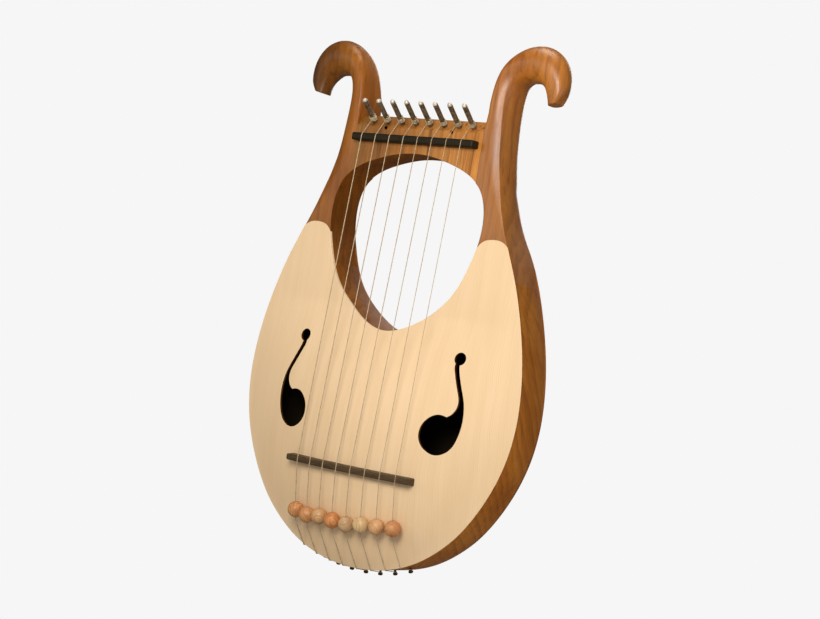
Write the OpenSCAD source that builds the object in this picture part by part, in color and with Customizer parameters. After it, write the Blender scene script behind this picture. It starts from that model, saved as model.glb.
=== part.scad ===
// Eight-string lyre: a hollow pear-shaped body with a domed spruce soundboard,
// two scroll arms, a crossbar with tuning pins, and one wooden bead on each string.
// The lyre stands upright: +X to the player's left as seen from the front, +Y to the back, +Z up.
// Design heights are counted from the lowest point of the body's rim, design depths from the
// plane of the rim's front edge; place() moves both to the origin on the back board.

/* [Body] */
// Greatest width of the body across the outline
body_w = 360; // [340:1:380]
// Depth of the body from the rim's front plane to the back board's outer face
body_d = 46; // [42:0.5:50]
// Thickness of the outer side ribs
rib_t = 7; // [5:0.5:9]
// Thickness of the wall around the hand hole
hole_wall_t = 5; // [4:0.5:7]
// Thickness of the flat back board
back_t = 3.5; // [3:0.5:5]

/* [Soundboard] */
// Thickness of the spruce soundboard
board_t = 3; // [2.5:0.5:4]
// Height of the soundboard's dome in front of the rim plane
dome_h = 28; // [24:1:30]
// Height of the dome's highest point above the bottom of the rim
dome_z = 133; // [125:1:140]
// Distance from the highest point up to where the board is flat again
dome_up = 142; // [138:1:148]

/* [Crossbar] */
// Depth of the crossbar from front to back
bar_d = 42; // [38:1:44]
// Height of the crossbar's top face
bar_top = 482; // [480:0.5:484]
// Height of the lower edge of the sloping face that carries the pins
slope_z = 468.7; // [466:0.5:471]
// Depth of that sloping face along the crossbar's top
slope_y = 11; // [9:0.5:13]

/* [Strings] */
// Distance from string to string
string_pitch = 18.85; // [18:0.05:19.2]
// Height of the nut's crown in front of the crossbar's face
nut_h = 11.5; // [10:0.5:13]
// Height of the bridge above the soundboard
bridge_h = 10.3; // [9:0.1:12]
// Diameter of the thickest string
string_d_low = 1.1; // [0.9:0.05:1.2]
// Diameter of the thinnest string
string_d_high = 0.7; // [0.5:0.05:0.8]

/* [Tuning pins] */
// Diameter of the tuning pins
pin_d = 5.5; // [5:0.1:6]
// Length of a pin that stands out of the crossbar
pin_out = 33; // [26:0.5:36]
// Length of a pin inside the crossbar
pin_in = 18; // [14:1:20]
// Radial running clearance of a pin in its bore
pin_gap = 0.05; // [0.02:0.01:0.1]
// Width across the flats of a pin's squared head
pin_square = 4.9; // [4.4:0.1:5.2]

/* [Beads] */
// Diameter of the wooden beads
bead_d = 17.4; // [15:0.1:18]
// Diameter of the hole through a bead
bead_hole = 2.8; // [2.4:0.1:3.4]
// Gap between a bead and the soundboard
bead_gap = 0.4; // [0.3:0.05:0.6]

/* [Fasteners] */
// Shank diameter of the hitch pins under the rim
hitch_d = 2.6; // [2:0.1:3]
// Distance of the hitch pins behind the front edge of the rim
hitch_y = 17; // [14:1:22]
// Length of a hitch pin outside the wood
hitch_out = 5.5; // [5:0.5:7]

/* [Hidden] */

// The origin lies on the back board's outer face, this far above the bottom of the rim.
origin_z = 180;
kx = body_w / 360;
seam_x = 84.5 * kx;      // where the crossbar meets the arms
arm_z0 = 318;            // lower ends of the arms, inside the body
tail_x = 72 * kx;        // half width of the tail block
tail_z = 40;             // height of the tail block
seam = 0.05;             // clearance at hidden glued joints

// Half of the body's outline, from the bottom centre up the right side.
out_half = [[0, 0], [30, 2.2], [60, 9.5], [84, 20], [106.5, 35], [124, 50.5], [147, 80], [163.3, 110],
  [174, 140], [179.2, 170], [180, 195], [177.5, 225], [170.8, 260], [162.3, 290], [151.5, 320],
  [138, 350], [126.5, 378], [119.8, 402], [114.8, 426], [111, 450], [108.5, 478]];
// Half of the hand hole, from its lowest point up the right side to the arch.
hole_half = [[0, 252], [21, 256], [43, 267.5], [60, 280.5], [72.5, 293], [81, 305], [87.5, 318],
  [93.5, 334], [98.6, 352], [100.8, 370], [99.5, 388], [95.2, 401.5], [88, 413], [73, 424.5],
  [55, 432], [38, 437], [19, 440.8], [0, 442]];
// Upper edge of the soundboard's lobe, from the hand hole to the outer rim.
lobe = [[98.3, 350.5], [101.5, 354.5], [106, 357.8], [113, 359.8], [121, 360.2], [128, 359], [132.5, 356.8], [136, 354]];
// One sound hole on the right side: a small eye, a thin stem and a large comma.
comma = [[104.8, 231.5], [105.6, 226.7], [107.9, 219.2], [111.5, 210.7], [115.5, 201.7], [119.1, 193.1], [121.3, 184], [122.3, 174],
  [121.8, 165], [120, 156], [117, 147.5], [112, 140.5], [105, 135.8], [97, 134], [89, 136], [82, 141],
  [77.8, 148], [77, 156], [79.5, 164], [85.5, 171], [92.5, 174.8], [99, 175.3], [104.5, 174.2],
  [109, 177.5], [112.6, 183], [113.9, 189.3], [112.9, 195.2], [109.7, 202.6], [105.7, 211.6], [102.2, 220.1], [100.2, 226.8], [100.6, 231.5]];
eye = [104.2, 234.8];
eye_r = 6.6;

// Catmull-Rom curve; pre and post are the neighbours beyond the two ends.
function cr(a, b, c, d, t) = 0.5 * (2 * b + (c - a) * t + (2 * a - 5 * b + 4 * c - d) * t * t + (3 * b - a - 3 * c + d) * t * t * t);
function spline(p, pre, post, n) = [for (i = [0:len(p) - 2], j = [0:n - 1])
  cr(i == 0 ? pre : p[i - 1], p[i], p[i + 1], i == len(p) - 2 ? post : p[i + 2], j / n), p[len(p) - 1]];
function closed_spline(p, n) = [for (i = [0:len(p) - 1], j = [0:n - 1])
  cr(p[(i + len(p) - 1) % len(p)], p[i], p[(i + 1) % len(p)], p[(i + 2) % len(p)], j / n)];
function flip_x(p) = [for (q = p) [-q[0], q[1]]];
function rev(p) = [for (i = [len(p) - 1:-1:0]) p[i]];
function wide(p) = [for (q = p) [q[0] * kx, q[1]]];

outer = spline(wide(out_half), [-30 * kx, 2.2], [107.5 * kx, 500], 5);
hole = spline(wide(hole_half), [-21 * kx, 256], [-19 * kx, 440.8], 4);
lobe_c = spline(wide(lobe), [95.5 * kx, 346], [139 * kx, 350], 3);

// Half width of the body and height of the rim's underside, by linear lookup along the outline.
w_table = [for (q = outer) [q[1], q[0]]];
z_table = [for (q = outer) if (q[1] < 100) [q[0], q[1]]];
function half_w(z) = lookup(z, w_table);
function rim_z(x) = lookup(abs(x), z_table);
function rim_slope(x) = atan2(rim_z(abs(x) + 2) - rim_z(max(abs(x) - 2, 0)), abs(x) < 2 ? abs(x) + 2 : 4) * sign(x);

// Height of the soundboard's front surface in front of the rim plane.
function dome_long(z) = z <= 0 ? 0 : z < dome_z ? 1 - pow((dome_z - z) / dome_z, 3)
  : z < dome_z + dome_up ? pow(1 - pow((z - dome_z) / dome_up, 2), 1.25) : 0;
function dome(x, z) = let(w = max(half_w(z), 0.5), s = min(abs(x) / w, 1))
  dome_h * dome_long(z) * pow(1 - s * s, 1.25);

// Points of the outline at or below a height, and beyond a distance from the centre line.
function inward(p, i, t) = let(a = p[max(i - 1, 0)], b = p[min(i + 1, len(p) - 1)], d = (b - a) / norm(b - a))
  [p[i][0] - d[1] * t, p[i][1] + d[0] * t];
body_half = [for (q = outer) if (q[1] <= 354) q];

// Turns a drawing in the X-Z plane into a plate from depth y0 to depth y1.
module plate(y0, y1) { translate([0, y1, 0]) rotate([90, 0, 0]) linear_extrude(y1 - y0) children(); }
module place() { translate([0, -body_d, -origin_z]) children(); }
// A rod from p to q, with an optional ball at its end.
module rod(p, q, r, ball = true) {
  v = q - p; l = norm(v);
  translate(p) rotate([0, acos(v[2] / l), atan2(v[1], v[0])]) cylinder(h = l, r = r, $fn = 16);
  if (ball) translate(q) sphere(r = r, $fn = 16);
}

// --- Soundboard ---------------------------------------------------------
board_half = concat([for (q = body_half) if (q[1] < 353) q], rev(lobe_c), rev([for (q = hole) if (q[1] < 349) q]));
module board_outline() { polygon(concat(board_half, rev(flip_x(board_half)))); }
module sound_hole() {
  polygon(closed_spline(wide(comma), 3));
  translate([eye[0] * kx, eye[1]]) circle(r = eye_r, $fn = 40);
}
grid_x = [for (i = [-19:19]) i * 10 * kx];
grid_z = [for (i = [-1:37]) i * 10];
module dome_sheet(t) {
  nx = len(grid_x); nz = len(grid_z); n = nx * nz;
  pts = concat([for (z = grid_z, x = grid_x) [x, -dome(x, z), z]], [for (z = grid_z, x = grid_x) [x, -dome(x, z) + t, z]]);
  faces = concat(
    [for (j = [0:nz - 2], i = [0:nx - 2]) let(a = j * nx + i) each [[a, a + nx + 1, a + 1], [a, a + nx, a + nx + 1]]],
    [for (j = [0:nz - 2], i = [0:nx - 2]) let(a = n + j * nx + i) each [[a, a + 1, a + nx + 1], [a, a + nx + 1, a + nx]]],
    [for (i = [0:nx - 2]) each [[i, i + 1, n + i + 1], [i, n + i + 1, n + i]]],
    [for (i = [0:nx - 2]) let(a = (nz - 1) * nx + i) each [[a, n + a + 1, a + 1], [a, n + a, n + a + 1]]],
    [for (j = [0:nz - 2]) let(a = j * nx) each [[a, n + a, n + a + nx], [a, n + a + nx, a + nx]]],
    [for (j = [0:nz - 2]) let(a = j * nx + nx - 1) each [[a, n + a + nx, n + a], [a, a + nx, n + a + nx]]]);
  polyhedron(pts, faces, convexity = 4);
}
module soundboard() {
  color([0.93, 0.80, 0.60]) intersection() {
    dome_sheet(board_t);
    plate(-dome_h - 10, board_t + 5) difference() {
      board_outline();
      sound_hole();
      mirror([1, 0]) sound_hole();
    }
  }
}

// --- Back and sides -----------------------------------------------------
back_half = concat([for (q = outer) if (q[1] < arm_z0 + 20) q],
  [[half_w(arm_z0 + 20), arm_z0 + 20], [lookup(arm_z0 + 20, [for (q = hole) if (q[1] < 380) [q[1], q[0]]]), arm_z0 + 20]],
  rev([for (q = hole) if (q[1] < arm_z0 + 20) q]));
module back_board() {
  color([0.42, 0.24, 0.12]) plate(body_d - back_t, body_d) polygon(concat(back_half, rev(flip_x(back_half))));
}
// Outer ribs run from the tail block up to the arms.
rib_i = [for (i = [0:len(outer) - 1]) if (outer[i][0] > tail_x + 1 && outer[i][1] < arm_z0 - 3) i];
rib_in = [for (i = rib_i) inward(outer, i, rib_t)];
module rib() {
  x1 = half_w(arm_z0); 
  plate(board_t, body_d - back_t) polygon(concat(
    [[tail_x, rim_z(tail_x)]], [for (i = rib_i) outer[i]], [[x1, arm_z0], [x1 - rib_t * 1.06, arm_z0]],
    rev(rib_in), [[tail_x, rim_z(tail_x) + rib_t * 1.06]]));
}
module left_rib() { color([0.46, 0.27, 0.13]) mirror([1, 0, 0]) rib(); }
module right_rib() { color([0.46, 0.27, 0.13]) rib(); }
// The wall around the lower part of the hand hole, from arm to arm; its front edge follows the dome.
wall_i = [for (i = [0:len(hole) - 1]) if (hole[i][1] < arm_z0 - 2) i];
wall_in = concat([for (i = wall_i) hole[i]], [[hole_x(arm_z0), arm_z0]]);
wall_out = concat([for (i = wall_i) let(a = i == 0 ? [-hole[1][0], hole[1][1]] : hole[i - 1], b = hole[i + 1], d = (b - a) / norm(b - a))
  [hole[i][0] + d[1] * hole_wall_t, hole[i][1] - d[0] * hole_wall_t]], [[hole_x(arm_z0) + hole_wall_t * 1.05, arm_z0]]);
function hole_x(z) = lookup(z, [for (q = hole) if (q[1] < 380) [q[1], q[0]]]);
module hole_wall() {
  ri = concat(rev(flip_x(wall_in)), [for (i = [1:len(wall_in) - 1]) wall_in[i]]);
  ro = concat(rev(flip_x(wall_out)), [for (i = [1:len(wall_out) - 1]) wall_out[i]]);
  n = len(ri); yb = body_d - back_t;
  color([0.36, 0.20, 0.10]) polyhedron(
    [for (i = [0:n - 1]) each let(p = ri[i], q = ro[i]) [
      [p[0], board_t + 0.02 - dome(p[0], p[1]), p[1]], [q[0], board_t + 0.02 - dome(q[0], q[1]) + 0.02, q[1]],
      [q[0], yb, q[1]], [p[0], yb, p[1]]]],
    concat([[0, 1, 2, 3]], [for (i = [0:n - 2], j = [0:3]) let(a = 4 * i + j, b = 4 * i + (j + 1) % 4) each [[a, a + 4, b + 4], [a, b + 4, b]]],
      [[for (j = [3:-1:0]) 4 * (n - 1) + j]]), convexity = 6);
}
// Solid block at the bottom that holds the hitch pins.
module tail_block() {
  low = [for (q = outer) if (q[0] < tail_x - 1 && q[1] < 60) q];
  h = concat(low, [[tail_x - seam, rim_z(tail_x)], [tail_x - seam, tail_z]]);
  color([0.50, 0.30, 0.15]) difference() {
    plate(board_t, body_d - back_t) polygon(concat(h, rev(flip_x([for (i = [1:len(h) - 1]) h[i]]))));
    for (k = [0:7]) at_hitch(k) translate([0, 0, -13.2]) cylinder(h = 20, r = hitch_d / 2 + 0.02, $fn = 32);
  }
}

// --- Braces -------------------------------------------------------------
// A soundboard brace: its front edge follows the underside of the dome.
module board_brace(z, half, depth, w) {
  n = 24;
  xs = [for (i = [0:n]) -half + 2 * half * i / n];
  top = [for (x = xs) [x, -min(dome(x, z - w / 2), dome(x, z + w / 2), dome(x, z)) + board_t + 0.12]];
  low = [for (i = [n:-1:0]) [xs[i], top[i][1] + depth * (0.45 + 0.55 * sin(180 * i / n))]];
  translate([0, 0, z - w / 2]) linear_extrude(w) polygon(concat(top, low));
}
module upper_brace() { color([0.88, 0.74, 0.54]) board_brace(188, 62 * kx, 9, 8); }
module lower_brace() { color([0.88, 0.74, 0.54]) board_brace(118, 120 * kx, 11, 8); }
module back_braces() {
  color([0.80, 0.64, 0.44]) for (z = [105, 205])
    translate([0, body_d - back_t - 9, z - 5]) linear_extrude(10)
      polygon([[-(half_w(z) - rib_t - 6), 9], [-(half_w(z) - rib_t - 6), 6], [-(half_w(z) - rib_t - 34), 0],
        [half_w(z) - rib_t - 34, 0], [half_w(z) - rib_t - 6, 6], [half_w(z) - rib_t - 6, 9]]);
}

// --- Arms ---------------------------------------------------------------
// Stations up the right arm: inner edge x, z, outer edge x, z, front depth, back depth,
// squareness of the inner half, squareness of the outer half.
arm_st = [
  [87.5, 318, 152.2, 318, 0, 46, 16, 16],
  [93.5, 334, 145.4, 334, 0, 46, 16, 16],
  [98.6, 352, 137.2, 352, 0, 46, 16, 11],
  [100.8, 370, 129.7, 370, 0, 46, 16, 7],
  [99.5, 388, 123.6, 388, 0, 45.5, 16, 4.6],
  [94.2, 404, 119.4, 404, 0, 44.5, 16, 3.6],
  [84.5, 417, 116.6, 417, 0, 44, 16, 3.1],
  [84.5, 432, 113.6, 432, 0, 43, 16, 2.8],
  [84.5, 450, 111, 450, 0, 42, 16, 2.6],
  [84.5, 468, 108.9, 468, 0, 41, 12, 2.45],
  [84.5, 485, 107.6, 485, 0, 39.5, 8, 2.35],
  [84.8, 500, 107.2, 500, 0, 38.2, 5, 2.3],
  [86.2, 515, 108.6, 511, 0, 37.3, 3.8, 2.25],
  [90, 531, 112, 519.5, 0, 36.8, 3, 2.2],
  [98, 546.5, 117, 524.3, 0, 36.5, 2.5, 2.15],
  [111.5, 558.8, 123, 526.3, 0, 36.2, 2.3, 2.1],
  [130, 564.8, 129.5, 526.5, 0.5, 36, 2.2, 2.1],
  [148.5, 560.3, 135.5, 525, 1.2, 35.2, 2.2, 2.1],
  [159.5, 551, 140, 521.8, 2.5, 34, 2.2, 2.1],
  [165.8, 539, 143, 518, 4, 32.5, 2.2, 2.1],
  [167.8, 527, 145.2, 513.3, 5.5, 31, 2.2, 2.2],
  [166.3, 515.5, 147.2, 508.2, 7, 29.5, 2.3, 2.3],
  [161, 506.5, 149, 503.8, 8.2, 28.2, 2.4, 2.4]];
arm_steps = 2;
arm_m = 28;
arm_rows = spline(arm_st, 2 * arm_st[0] - arm_st[1], 2 * arm_st[22] - arm_st[21], arm_steps);
function sgn_pow(v, e) = sign(v) * pow(abs(v), e);
function arm_ring(s) = let(a = [max(s[0], 84.5) * kx, s[1]], g = [s[2] * kx, s[3]], m = (a + g) / 2, h = (g - a) / 2,
    ym = (s[4] + s[5]) / 2, yh = (s[5] - s[4]) / 2)
  [for (k = [0:arm_m - 1]) let(t = 360 * (k + 0.5) / arm_m, c = cos(t), n = c < 0 ? s[6] : s[7],
     u = sgn_pow(c, 2 / n), v = sgn_pow(sin(t), 2 / n), q = m + h * u) [q[0], ym + yh * v, q[1]]];
module arm_solid() {
  rings = [for (s = arm_rows) arm_ring(s)];
  nr = len(rings); m = arm_m;
  polyhedron([for (r = rings) each r], concat(
    [[for (k = [0:m - 1]) k]],
    [for (j = [0:nr - 2], k = [0:m - 1]) let(a = j * m + k, b = j * m + (k + 1) % m) each [[a, a + m, b + m], [a, b + m, b]]],
    [[for (k = [m - 1:-1:0]) (nr - 1) * m + k]]), convexity = 6);
}
module arm() {
  difference() {
    arm_solid();
    // Rebate for the soundboard's lobe and for the back board.
    plate(-1, board_t + 0.02) polygon(concat([for (q = outer) if (q[1] < 353 && q[1] > 300) q + [1, 0]],
      rev(lobe_c), rev([for (q = hole) if (q[1] < 349 && q[1] > 300) q - [1, 0]])));
    translate([70 * kx, body_d - back_t, arm_z0 - 2]) cube([100 * kx, 10, 22.02]);
    dowels(seam);
  }
}
module left_arm() { color([0.58, 0.33, 0.15]) mirror([1, 0, 0]) arm(); }
module right_arm() { color([0.58, 0.33, 0.15]) arm(); }

// --- Crossbar -----------------------------------------------------------
module dowels(gap) { for (z = [436, 458]) translate([seam_x - 14, 26, z]) rotate([0, 90, 0]) cylinder(h = 26, r = 4 + gap, $fn = 32); }
module crossbar_dowels() {
  color([0.80, 0.62, 0.40]) for (s = [0, 1]) mirror([s, 0, 0]) translate([0.5, 0, 0]) intersection() {
    dowels(0);
    translate([seam_x - 13.5, 0, 400]) cube([25, 60, 90]);
  }
}
slope_a = atan2(bar_top - slope_z, slope_y);   // slope of the pin face
pin_dir = [0, -sin(slope_a), cos(slope_a)];
function string_x(k) = (k - 3.5) * string_pitch;
// Radius of a string's path round its pin, and its height on the pin where it arrives.
function wind_r(k) = pin_d / 2 + string_r(k) + 0.05;
wind_h = 3.4;
// Where a pin's axis leaves the sloping face.
function pin_foot(k) = [string_x(k) + wind_r(k), 4, slope_z + 4 * tan(slope_a)];
module at_pin(k) { translate(pin_foot(k)) rotate([slope_a, 0, 0]) children(); }
arch = [for (q = hole) if (q[0] < seam_x - 0.5 && q[1] > 400) q];
module crossbar() {
  h = concat([[0, bar_top]], [[seam_x - seam, bar_top], [seam_x - seam, lookup(seam_x, [for (q = rev([for (q = hole) if (q[1] > 395) q])) q])]], arch);
  color([0.56, 0.33, 0.17]) difference() {
    plate(0, bar_d) polygon(concat(h, rev(flip_x([for (i = [1:len(h) - 2]) h[i]]))));
    // Sloping front face, and an eased edge at the back.
    translate([-200, 0, 0]) rotate([90, 0, 90]) linear_extrude(400) polygon([[-5, slope_z - 5 * tan(slope_a)], [-5, bar_top + 9], [slope_y + 8, bar_top + 9], [slope_y + 8, bar_top + 8 * tan(slope_a)]]);
    translate([-200, 0, 0]) rotate([90, 0, 90]) linear_extrude(400) polygon([[bar_d - 6, bar_top + 1], [bar_d + 2, bar_top + 1], [bar_d + 2, bar_top - 8], [bar_d, bar_top - 6], [bar_d - 6, bar_top]]);
    for (k = [0:7]) at_pin(k) translate([0, 0, -pin_in - 1]) cylinder(h = pin_in + 12, r = pin_d / 2 + pin_gap, $fn = 48);
    for (s = [-1, 1]) at_screw(s) translate([0, 0, -16]) cylinder(h = 30, r = 2.1, $fn = 32);
    for (s = [0, 1]) mirror([s, 0, 0]) dowels(seam);
  }
}
module at_screw(s) { translate([s * 44 * kx, 0, slope_z - 0.5]) rotate([58, 0, 0]) children(); }
module crossbar_screws() {
  color([0.15, 0.12, 0.10]) for (s = [-1, 1]) at_screw(s) {
    translate([0, 0, -15]) cylinder(h = 13, r = 1.5, $fn = 32);
    difference() {
      translate([0, 0, -3]) cylinder(h = 2.2, r = 2.05, $fn = 32);
      translate([-1.6, -0.3, -1.5]) cube([3.2, 0.6, 2]);
    }
  }
}

// --- Nut and bridge -----------------------------------------------------
module nut_bar() {
  zc = 455.6; b = nut_h;
  color([0.10, 0.08, 0.07]) translate([-80.5 * kx, 0, 0]) rotate([90, 0, 90]) linear_extrude(161 * kx)
    polygon([[0, zc - 4.1], [-b + 3.2, zc - 4.1], [-b + 1.3, zc - 3.4], [-b + 0.3, zc - 2], [-b, zc], [-b + 0.3, zc + 2], [-b + 1.3, zc + 3.4], [-b + 3.2, zc + 4.1], [0, zc + 4.1]]);
}
bridge_z = 103;
bridge_w = 8.2;
function bridge_top(x) = dome(x, bridge_z) * 0.72 + dome(0, bridge_z) * 0.28 + bridge_h - 0.4;
module bridge() {
  n = 28; half = 85.5 * kx; right = 80.2 * kx;
  xs = [for (i = [0:n]) -half + (half + right) * i / n];
  foot = [for (x = xs) [x, -max(dome(x, bridge_z - bridge_w / 2), dome(x, bridge_z + bridge_w / 2), dome(x, bridge_z)) - 0.04]];
  top = [for (i = [n:-1:0]) [xs[i], -bridge_top(xs[i]) + (i == 0 || i == n ? 1.6 : 0)]];
  color([0.11, 0.09, 0.07]) difference() {
    translate([0, 0, bridge_z - bridge_w / 2]) linear_extrude(bridge_w) polygon(concat(foot, top));
    for (k = [0:7]) translate([string_x(k), -bridge_top(string_x(k)) - 0.3, bridge_z - 10]) cylinder(h = 20, r = string_r(k) + 0.06, $fn = 24);
  }
}

// --- Beads --------------------------------------------------------------
bead_z = [49, 46.5, 48.5, 47.5, 46.5, 49.5, 51, 52.5];
function dome_dz(x, z) = (dome(x, z + 1) - dome(x, z - 1)) / 2;
function dome_dx(x, z) = (dome(x + 1, z) - dome(x - 1, z)) / 2;
function bead_at(k) = let(x = string_x(k), z = bead_z[k], f = sqrt(1 + pow(dome_dx(x, z), 2) + pow(dome_dz(x, z), 2)))
  [x, -dome(x, z) - (bead_d / 2 + bead_gap) * f, z];
// The hole of a bead, and its way of sliding, lies along the slope of the board under it.
bead_tilt = 14.5;
bead_dir = [0, -sin(bead_tilt), cos(bead_tilt)];
module bead(k) {
  color([0.80, 0.55, 0.34]) translate(bead_at(k)) rotate([bead_tilt, 0, 0]) difference() {
    sphere(r = bead_d / 2, $fn = 48);
    translate([0, 0, -bead_d]) cylinder(h = 2 * bead_d, r = bead_hole / 2, $fn = 32);
  }
}

// --- Hitch pins ---------------------------------------------------------
// Local +Z points out of the wood at string k's hitch pin.
module at_hitch(k) { x = string_x(k); translate([x, hitch_y, rim_z(x)]) rotate([0, 180 - rim_slope(x), 0]) children(); }
function hitch_out_dir(k) = let(a = rim_slope(string_x(k))) [sin(a), 0, -cos(a)];
module hitch_pins() {
  color([0.20, 0.16, 0.12]) for (k = [0:7]) at_hitch(k) {
    translate([0, 0, -13]) cylinder(h = 13 + hitch_out - 1.5, r = hitch_d / 2, $fn = 32);
    translate([0, 0, hitch_out - 2]) cylinder(h = 0.9, r = 2.6, $fn = 32);
    translate([0, 0, hitch_out - 1.1]) cylinder(h = 1.1, r1 = 2.6, r2 = 1.3, $fn = 32);
  }
}

// --- Tuning pins and windings -------------------------------------------
module tuning_pin(k) {
  color([0.62, 0.59, 0.54]) at_pin(k) {
    translate([0, 0, -pin_in]) cylinder(h = pin_in + 16, r = pin_d / 2, $fn = 48);
    intersection() {
      translate([0, 0, 15.9]) cylinder(h = pin_out - 17.4, r = pin_d / 2, $fn = 48);
      translate([-pin_square / 2, -pin_square / 2, 15]) cube([pin_square, pin_square, 30]);
    }
    translate([0, 0, pin_out - 2]) cylinder(h = 1.2, r1 = 2.5, r2 = 2.2, $fn = 48);
    translate([0, 0, pin_out - 0.9]) cylinder(h = 0.9, r1 = 2.2, r2 = 1.3, $fn = 48);
  }
}
// Turns of string wound on the pin just above the wood.
module winding(k) {
  r = string_r(k);
  color([0.70, 0.66, 0.58]) at_pin(k) for (i = [1:4]) translate([0, 0, wind_h + i * (2 * r + 0.35)])
    rotate_extrude($fn = 48) translate([pin_d / 2 + r + 0.01, 0]) circle(r = r, $fn = 16);
}

// --- Strings ------------------------------------------------------------
function string_r(k) = (string_d_low + (string_d_high - string_d_low) * k / 7) / 2;
// Height of the board's faceted front edge at a point of the rim.
function sheet(x, z) = let(g = 10 * kx, i = floor(x / g), j = floor(z / 10), u = x / g - i, v = z / 10 - j)
  (dome(i * g, 10 * j) * (1 - u) + dome((i + 1) * g, 10 * j) * u) * (1 - v)
  + (dome(i * g, 10 * j + 10) * (1 - u) + dome((i + 1) * g, 10 * j + 10) * u) * v;
// Route of string k: loop on the hitch pin, rim, bead, bridge, nut, side of the tuning pin.
function loop_at(k, a, h) = let(o = hitch_out_dir(k), t = [-o[2], 0, o[0]], R = hitch_d / 2 + string_r(k) + 0.05)
  [string_x(k), hitch_y, rim_z(string_x(k))] + o * h + t * (R * cos(a)) + [0, R * sin(a), 0];
function route(k) = let(x = string_x(k), r = string_r(k), c = bead_at(k), o = hitch_out_dir(k),
    R = r + 0.45, base = [x, -sheet(x, rim_z(x)), rim_z(x)], f = pin_foot(k) + pin_dir * wind_h - [wind_r(k), 0, 0], up = [0, cos(slope_a), sin(slope_a)])
  concat([for (i = [0:12]) loop_at(k, 285 - 24 * i, 2.2)],
  [base + o * R + [0, 2.5, 0]],
  [for (t = [0:30:90]) base + o * (R * cos(t)) - [0, R * sin(t), 0]],
  [c - bead_dir * (bead_d / 2 + 4.4),
   c + bead_dir * (bead_d / 2 + 4.4),
   [x, -bridge_top(x) - 0.3, bridge_z - bridge_w / 2 - 0.2],
   [x, -bridge_top(x) - 0.3, bridge_z + bridge_w / 2 + 0.2],
   [x, -nut_h - r - 0.06, 453.8],
   [x, -nut_h - r - 0.06, 457.3],
   f - up * 3, f, f + up * 0.8]);
// A round tube along a path; ring u-axes stay across the path's own plane.
function tube_ring(p, i, r, m) = let(n = len(p) - 1, a = p[max(i - 1, 0)], b = p[min(i + 1, n)],
    d0 = i == 0 ? p[1] - p[0] : p[i] - p[i - 1], d1 = i == n ? p[n] - p[n - 1] : p[i + 1] - p[i],
    u0 = d0 / norm(d0), u1 = d1 / norm(d1), t = (u0 + u1) / norm(u0 + u1),
    s = cross(t, abs(t[0]) > 0.7 ? [0, 0, 1] : [1, 0, 0]), e1 = s / norm(s), e2 = cross(t, e1))
  [for (k = [0:m - 1]) p[i] + r * (cos(360 * k / m) * e1 + sin(360 * k / m) * e2)];
module string(k) {
  p = route(k); n = len(p); m = 8; r = string_r(k);
  color([0.74, 0.72, 0.68]) polyhedron([for (i = [0:n - 1]) each tube_ring(p, i, r, m)], concat(
    [[for (j = [0:m - 1]) j]],
    [for (i = [0:n - 2], j = [0:m - 1]) let(a = i * m + j, b = i * m + (j + 1) % m) each [[a, a + m, b + m], [a, b + m, b]]],
    [[for (j = [m - 1:-1:0]) (n - 1) * m + j]]), convexity = 8);
}

place() soundboard();
place() back_board();
place() left_arm();
place() right_arm();
place() crossbar();
place() left_rib();
place() right_rib();
place() hole_wall();
place() tail_block();
place() upper_brace();
place() lower_brace();
place() back_braces();
place() crossbar_dowels();
place() crossbar_screws();
place() nut_bar();
place() bridge();
place() hitch_pins();
place() tuning_pin(0);  // tuning_pin_1
place() tuning_pin(1);  // tuning_pin_2
place() tuning_pin(2);  // tuning_pin_3
place() tuning_pin(3);  // tuning_pin_4
place() tuning_pin(4);  // tuning_pin_5
place() tuning_pin(5);  // tuning_pin_6
place() tuning_pin(6);  // tuning_pin_7
place() tuning_pin(7);  // tuning_pin_8
place() winding(0);  // winding_1
place() winding(1);  // winding_2
place() winding(2);  // winding_3
place() winding(3);  // winding_4
place() winding(4);  // winding_5
place() winding(5);  // winding_6
place() winding(6);  // winding_7
place() winding(7);  // winding_8
place() string(0);  // string_1
place() string(1);  // string_2
place() string(2);  // string_3
place() string(3);  // string_4
place() string(4);  // string_5
place() string(5);  // string_6
place() string(6);  // string_7
place() string(7);  // string_8
place() bead(0);  // bead_1
place() bead(1);  // bead_2
place() bead(2);  // bead_3
place() bead(3);  // bead_4
place() bead(4);  // bead_5
place() bead(5);  // bead_6
place() bead(6);  // bead_7
place() bead(7);  // bead_8
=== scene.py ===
import math
import random

import bpy
import bmesh
import numpy as np
from mathutils import Matrix, Vector
from mathutils.geometry import delaunay_2d_cdt


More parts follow.
